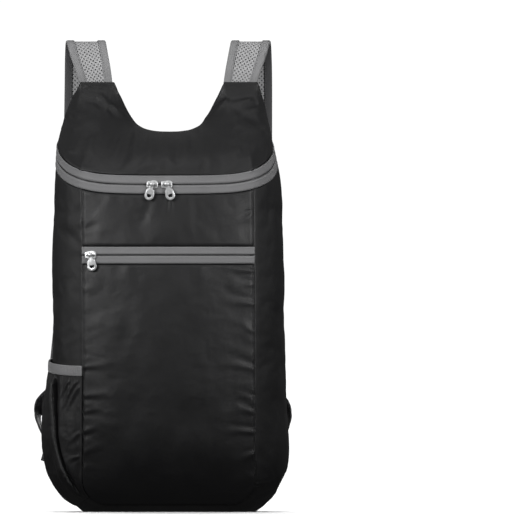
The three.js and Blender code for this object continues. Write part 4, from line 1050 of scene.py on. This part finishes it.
TAIL_ROUTE = {
    "down": [0, 0.14, 0.4, 0.7, 1],
    "back": [0.56, 0.68, 0.82, 0.79, 0.66],
    "left": [0.975, 0.985, 1.01, 1.065, 1.125],
    "right": [0.85, 0.852, 0.862, 0.88, 0.9],
    "turn": [0, 0, 0, 0, 0],
}


def curve_at(knots, t):
    """A smooth line through points, at shares of its row numbers."""
    ext = np.vstack([2 * knots[0] - knots[1], knots, 2 * knots[-1] - knots[-2]])
    spot = np.asarray(t, float) * (len(knots) - 1)
    i = np.minimum(np.floor(spot).astype(int), len(knots) - 2)
    w = (spot - i)[..., None]
    p0, p1, p2, p3 = (ext[i + k] for k in range(4))
    step = lambda a, b: np.sqrt(np.linalg.norm(a - b, axis=-1, keepdims=True))
    d0, d1, d2 = step(p0, p1), step(p1, p2), step(p2, p3)
    go = ((p1 - p0) / d0 - (p2 - p0) / (d0 + d1) + (p2 - p1) / d1) * d1
    end = ((p2 - p1) / d1 - (p3 - p1) / (d1 + d2) + (p3 - p2) / d2) * d1
    return p1 + go * w + (3 * p2 - 3 * p1 - 2 * go - end) * w**2 + (2 * p1 - 2 * p2 + go + end) * w**3


class Line:
    """Frames along a strip: its centre, the way across, the way out of its face, and its width's share."""

    def __init__(self, route, knots, side, steps, seat):
        t = np.linspace(0, 1, steps + 1)
        self.centre = curve_at(knots, t)
        ahead = curve_at(knots, np.minimum(t + 1e-4, 1)) - curve_at(knots, np.maximum(t - 1e-4, 0))
        self.tangent = ahead / np.linalg.norm(ahead, axis=-1, keepdims=True)
        rows = t * (len(knots) - 1)
        keys = np.arange(len(knots))
        turn = np.interp(rows, keys, route.get("turn", np.zeros(len(knots)))) * math.pi / 2
        self.wide = np.interp(rows, keys, route.get("wide", np.ones(len(knots))))[:, None]
        flat = points(np.cos(turn), -side * np.sin(turn), 0)
        across = flat - self.tangent * np.sum(flat * self.tangent, axis=-1, keepdims=True)
        self.across = across / np.linalg.norm(across, axis=-1, keepdims=True)
        self.out = np.cross(self.across, self.tangent)
        near = np.clip(1 - t * (len(knots) - 1) * 3, 0, 1)[:, None]
        self.across = mix(self.across, seat[0], near)
        self.out = mix(self.out, seat[1], near)
        run = np.concatenate([[0], np.cumsum(np.linalg.norm(np.diff(self.centre, axis=0), axis=-1))])
        self.thick = mix(0.4, 1.0, np.clip(run / 12, 0, 1) ** 0.7)[:, None] if "wide" in route else np.ones((1, 1))

    def at(self, across, out):
        """Points over the strip: across and out may be one row for all frames or one row each."""
        across, out = np.broadcast_arrays(np.asarray(across, float), np.asarray(out, float) * self.thick)
        return self.centre[:, None] + self.across[:, None] * across[..., None] + self.out[:, None] * out[..., None]


def strap_line(side, steps):
    column = "left" if side < 0 else "right"
    up, back = np.array(STRAP_ROUTE["up"]), np.array(STRAP_ROUTE["back"])
    knots = points(side * np.array(STRAP_ROUTE[column]) * HALF_BACK, STRAP_ROOT + back * STRAP_STANDOFF,
                   HORN_HEIGHT + BUTT_GAP + up * np.where(up > 0, STRAP_LOOP, STRAP_DROP))
    return Line(STRAP_ROUTE, knots, side, steps, ((1.0, 0.0, 0.0), (0.0, -1.0, 0.0)))


def webbing_line(route, side, root, foot, steps, seat):
    column = "left" if side < 0 else "right"
    down = np.array(route["down"])
    knots = points(side * np.array(route[column]) * HALF_BACK,
                   STRAP_ROOT + np.array(route["back"]) * STRAP_STANDOFF, mix(root[2], foot, down))
    knots += (root - knots[0]) * ((1 - down) ** 2)[:, None]
    return Line(route, knots, side, steps, seat)


# %% Nets, backings, bindings, webbing
def tube(name, line, outline, material, nodes):
    """Sweeps a closed outline of (across, out) pairs along a strip's frames, and closes both ends."""
    rows = [np.asarray(outline(float(w)), float) for w in line.wide[:, 0]]
    shape = np.stack(rows)
    grid = line.at(shape[..., 0], shape[..., 1])
    middle = grid.mean(axis=1, keepdims=True)
    piece = grid_mesh(name, grid, grid - middle, material, closed=True)
    count = shape.shape[1]
    mesh = piece.data
    last = (len(grid) - 1) * count
    ends = [list(range(count)), list(range(last, last + count))]
    faces = [list(p.vertices) for p in mesh.polygons]
    first = faces[0]
    forward_ = (first.index(1) - first.index(0)) % 4 == 1 if 0 in first and 1 in first else True
    caps = [ends[0][::-1], ends[1]] if forward_ else [ends[0], ends[1][::-1]]
    verts = [tuple(v.co) for v in mesh.vertices]
    uvs = np.zeros(len(mesh.loops) * 2, np.float32)
    mesh.uv_layers["cut"].data.foreach_get("uv", uvs)
    whole = bpy.data.meshes.new(name)
    whole.from_pydata(verts, [], faces + caps)
    layer = whole.uv_layers.new(name="cut").data
    full = np.zeros(len(whole.loops) * 2, np.float32)
    full[: len(uvs)] = uvs
    layer.foreach_set("uv", full)
    whole.polygons.foreach_set("use_smooth", [True] * len(faces) + [False, False])
    whole.materials.append(material)
    piece.data = whole
    return put(piece, nodes)


def slab(half_width, wall_, rounding=0.45):
    """An outline with rounded edges, for a strip of woven tape."""
    angles = np.linspace(-math.pi / 2, math.pi / 2, 5)
    b = wall_ / 2

    def outline(wide):
        a = half_width * wide
        right = [(a - rounding + rounding * math.cos(q), b * math.sin(q)) for q in angles]
        flat = [(f * (a - rounding), b) for f in (0.6, 0.2, -0.2, -0.6)]
        return right + flat + [(-x, -y) for x, y in right] + [(-x, -y) for x, y in flat]

    return outline


def folded(hand):
    """The binding's outline: a tape folded over one edge of the strap."""
    inner, outer = STRAP_WALL / 2 + 0.4, STRAP_WALL / 2 + 1.35

    def outline(wide):
        edge = STRAP_WIDTH / 2 * wide
        lip = edge - BINDING_WIDTH
        rows = [(lip, outer - 0.35), (lip + 0.5, outer), (edge - 2, outer + 0.1), (edge - 0.7, outer - 0.2),
                (edge, outer - 1), (edge + 0.1, 0), (edge, 1 - outer), (edge - 0.7, 0.2 - outer),
                (edge - 2, -outer - 0.1), (lip + 0.5, -outer), (lip, 0.35 - outer), (lip, -inner),
                (edge - 1.4, -inner), (edge - 1.0, 0), (edge - 1.4, inner), (lip, inner)]
        return [(hand * a, b) for a, b in rows]

    return outline


def net(name, line, face):
    """Threads of the open mesh on one face: the surface is laid out as diamonds, and the tree pierces them."""
    half = (STRAP_WIDTH / 2 - BINDING_WIDTH + 1.8)
    pitch = 4.8
    length = np.concatenate([[0], np.cumsum(np.linalg.norm(np.diff(line.centre, axis=0), axis=-1))])
    rows, columns = int(length[-1] / (pitch / 2)), int(2 * half / (pitch / 2)) // 2 * 2
    verts, faces, spots = [], [], {}

    def vertex(i, j):
        if (i, j) not in spots:
            s = min(max(i / rows, 0), 1) * length[-1]
            k = min(int(np.searchsorted(length, s, side="right")) - 1, len(length) - 2)
            f = (s - length[k]) / (length[k + 1] - length[k])
            pick = lambda a: a[k] * (1 - f) + a[k + 1] * f
            x = (j / columns * 2 - 1) * half * float(pick(line.wide)[0])
            spots[i, j] = len(verts)
            lift = face * 1.25 * float(pick(line.thick)[0])
            verts.append((pick(line.centre) + pick(line.across) * x + pick(line.out) * lift) * MM)
        return spots[i, j]

    for i in range(1, rows):
        for j in range(1 + i % 2, columns, 2):
            quad = [vertex(i - 1, j), vertex(i, j + 1), vertex(i + 1, j), vertex(i, j - 1)]
            faces.append(quad if face > 0 else quad[::-1])
    mesh = bpy.data.meshes.new(name + "_diamonds")
    mesh.from_pydata([tuple(v) for v in verts], [], faces)
    piece = grown(name, mesh, NET, {"Hole": 0.48, "Depth": 0.55 * MM, "Finish": net_thread})
    piece.data.polygons.foreach_set("use_smooth", [False] * len(piece.data.polygons))
    if "cut" not in piece.data.uv_layers:
        piece.data.uv_layers.new(name="cut")
    return put(piece, [])


def strap(side):
    hand = "left" if side < 0 else "right"
    line = strap_line(side, 150)
    pad = tube(f"strap_backing_{hand}", line, slab(STRAP_WIDTH / 2 - 1.6, 2.3), backing, [f"strap_mesh_{hand}"])
    length = float(np.linalg.norm(np.diff(line.centre, axis=0), axis=-1).sum())
    for face, label in ((1, "face"), (-1, "lining")):
        net(f"strap_net_{label}_{hand}", line, face)
    for hand_, label in ((side, "outer"), (-side, "inner")):
        piece = tube(f"binding_tape_{label}_{hand}", line, folded(hand_), grosgrain, [f"binding_{label}_{hand}"])
        # Faces 5 to 10 of each ring, the binding's half on the lining face, take the darker copy: painted shade.
        piece.data.materials.append(binding_painted_shade)
        inside = [0] * len(piece.data.polygons)
        for k, polygon in enumerate(piece.data.polygons[: 150 * 16]):
            inside[k] = 1 if 5 <= k % 16 <= 10 else 0
        piece.data.polygons.foreach_set("material_index", inside)
        edge = STRAP_WIDTH / 2 * line.wide - BINDING_WIDTH + 1.5
        rows = [line.at(hand_ * edge, face * (STRAP_WALL / 2 + 1.42))[2:-2, 0] for face in (1, -1)]
        bars(f"binding_stitches_{label}_{hand}", rows, 3.2, STITCH, grey_thread, [])
    last = line.at([0.0], [0.0])[-1, 0]
    tangent = line.tangent[-1]
    seat = (line.across[-1], line.out[-1])
    foot = last + tangent * (LOCK_HEIGHT + 2 * BUTT_GAP + WEBBING_WALL)
    step_back = np.array([0, (WEBBING_WALL + GAP) / 2, 0])
    corner = SEAM_LIFT + BACK_CORNER + WEBBING_WALL
    web = webbing_line(WEBBING_ROUTE, side, foot - step_back, corner, 90, seat)
    piece = tube(f"webbing_strip_{hand}", web, slab(WEBBING_WIDTH / 2, WEBBING_WALL), webbing,
                 [f"webbing_{hand}"])
    tail = webbing_line(TAIL_ROUTE, side, foot + step_back, foot[2] - TAIL_LENGTH, 60, seat)
    piece = tube(f"webbing_end_{hand}", tail, slab(WEBBING_WIDTH / 2, WEBBING_WALL), webbing,
                 [f"webbing_tail_{hand}"])


strap(-1.0)
strap(1.0)

# %% [markdown]
# ## Hardware
#
# Sliders, pullers and ladder locks have the right shape as solids. The eye expects their edges to be
# slightly round, because a cast or moulded edge always is and catches the light, so each is a merged copy
# of its solid with a small bevel.

# %% Bevelled hardware
def bevelled(name, node, material, on, width_mm):
    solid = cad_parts[node]
    mesh = solid.data.copy()
    mesh.materials.clear()
    mesh.materials.append(material)
    if "cut" not in mesh.uv_layers:
        mesh.uv_layers.new(name="cut")
    piece = bpy.data.objects.new(name, mesh)
    bpy.context.scene.collection.objects.link(piece)
    weld = piece.modifiers.new("weld", "WELD")
    weld.merge_threshold = 0.00001
    bevel = piece.modifiers.new("bevel", "BEVEL")
    bevel.width, bevel.segments, bevel.limit_method, bevel.angle_limit = width_mm * MM, 2, "ANGLE", math.radians(35)
    mesh.polygons.foreach_set("use_smooth", [True] * len(mesh.polygons))
    bevel.harden_normals = True
    return put(piece, [node], on)


for name in ("main_left", "main_right", "pocket"):
    bevelled(f"zip_slider_{name}", f"slider_{name}", nickel, "bag", 0.35)
    bevelled(f"zip_puller_{name}", f"puller_{name}", nickel, f"puller_{name}", 0.25)
for hand in ("left", "right"):
    bevelled(f"lock_{hand}", f"ladder_lock_{hand}", black_plastic, "bag", 0.6)

# %% [markdown]
# ## Light and camera
#
# The photograph was taken level and from far away against white, with light from above and from the front.
# A pale floor under a white surround gives that ground. Two soft panels in front draw the sheen on the cloth
# and fade towards the foot, a light at each side fills the gussets, and one shines on the lid. The light
# behind reaches only the back's pieces, so that it draws no bright rim, and the broad sun only the floor.

# %% Studio
def area(name, place, target, size, power, spread=180):
    light = bpy.data.lights.new(name, "AREA")
    light.shape, light.size, light.energy, light.spread = "SQUARE", size, power, math.radians(spread)
    lamp = bpy.data.objects.new(name, light)
    lamp.location = place
    lamp.visible_camera = False
    bpy.context.scene.collection.objects.link(lamp)
    direction = np.array(target) - np.array(place)
    yaw = math.atan2(direction[0], direction[1])
    pitch = math.atan2(-direction[2], math.hypot(direction[0], direction[1]))
    lamp.rotation_euler = (math.pi / 2 - pitch, 0.0, -yaw)
    return lamp


area("left panel light", (-0.56, -0.74, 0.6), (-0.05, 0, 0.345), 0.4, 0.76, 56)
area("right panel light", (0.6, -0.74, 0.6), (0.05, 0, 0.345), 0.4, 0.68, 56)
area("left side light", (-1.5, 0.0, 0.6), (-0.1, 0, 0.3), 0.9, 4.2)
area("right side light", (1.5, -0.1, 0.7), (0.1, 0, 0.34), 0.8, 2.2)
area("top light", (-0.1, -0.45, 1.5), (0, 0, 0.4), 0.9, 3.5)
back_light = area("back light", (0.7, 2.2, 0.5), (0, 0, 0.25), 1.2, 22.0)

world = bpy.data.worlds.new("white surround")
bpy.context.scene.world = world
world.use_nodes = True
nodes, links = world.node_tree.nodes, world.node_tree.links
ground = nodes["Background"]
ground.inputs["Color"].default_value = (1, 1, 1, 1)


def world_range(value, low, high, from_low=0.0, from_high=1.0):
    """A range of the world's shader, whose ends may be numbers or other sockets."""
    made = nodes.new("ShaderNodeMapRange")
    links.new(value, made.inputs["Value"])
    for label, end in (("From Min", from_low), ("From Max", from_high), ("To Min", low), ("To Max", high)):
        if isinstance(end, bpy.types.NodeSocket):
            links.new(end, made.inputs[label])
        else:
            made.inputs[label].default_value = end
    return made.outputs["Result"]


direction = nodes.new("ShaderNodeSeparateXYZ")
links.new(nodes.new("ShaderNodeTexCoord").outputs["Generated"], direction.inputs[0])
ray = nodes.new("ShaderNodeLightPath")
below = world_range(direction.outputs["Z"], 0.11, 0.02, -1.0, -0.25)
sky = world_range(direction.outputs["Z"], below, 0.34, -0.2, 1.0)
links.new(world_range(ray.outputs["Is Camera Ray"], sky, 1.05), ground.inputs["Strength"])

floor_mesh = bpy.data.meshes.new("floor")
floor_mesh.from_pydata([(-12, -12, 0), (12, -12, 0), (12, 30, 0), (-12, 30, 0)], [], [(0, 1, 2, 3)])
pale = Recipe("pale floor")
pale.set(Base_Color=(0.93, 0.93, 0.93, 1), Roughness=0.9, Specular_IOR_Level=0.1)
floor_mesh.materials.append(pale.material)
floor = bpy.data.objects.new("floor", floor_mesh)
bpy.context.scene.collection.objects.link(floor)
floor.visible_diffuse = floor.visible_glossy = False

back_pieces = ("back_cloth", "webbing_", "ladder_lock")


def only_on(name, chosen):
    """A collection for light linking: the light that has it reaches nothing else."""
    group = bpy.data.collections.new(name)
    for piece in chosen:
        group.objects.link(piece)
    return group


meshes = [piece for piece in bpy.context.scene.objects if piece.type == "MESH"]
back_light.light_linking.receiver_collection = only_on(
    "back light reaches", [piece for piece in meshes if piece.name.startswith(back_pieces)])
sun = bpy.data.lights.new("floor light", "SUN")
sun.energy, sun.angle = 3.9, math.radians(50)
floor_light = bpy.data.objects.new("floor light", sun)
floor_light.rotation_euler = (math.radians(-38), math.radians(-4), 0)
floor_light.light_linking.receiver_collection = only_on("floor light reaches", [floor])
bpy.context.scene.collection.objects.link(floor_light)

camera_data = bpy.data.cameras.new("camera")
camera_data.sensor_fit, camera_data.sensor_width = "HORIZONTAL", 36.0
distance, panel_distance = 25.0, 24.96
camera_data.lens = camera_data.sensor_width * panel_distance / (VIEW_WIDTH * VIEW_SCALE * MM)
camera_data.clip_end = 100.0
camera = bpy.data.objects.new("camera", camera_data)
camera.location = ((VIEW_WIDTH / 2 - VIEW_X) * VIEW_SCALE * MM, -distance,
                   (VIEW_FLOOR - VIEW_HEIGHT / 2) * VIEW_SCALE * MM)
camera.rotation_euler = (math.pi / 2, 0, 0)
bpy.context.scene.collection.objects.link(camera)
bpy.context.scene.camera = camera
bpy.context.scene.view_settings.view_transform = "Standard"
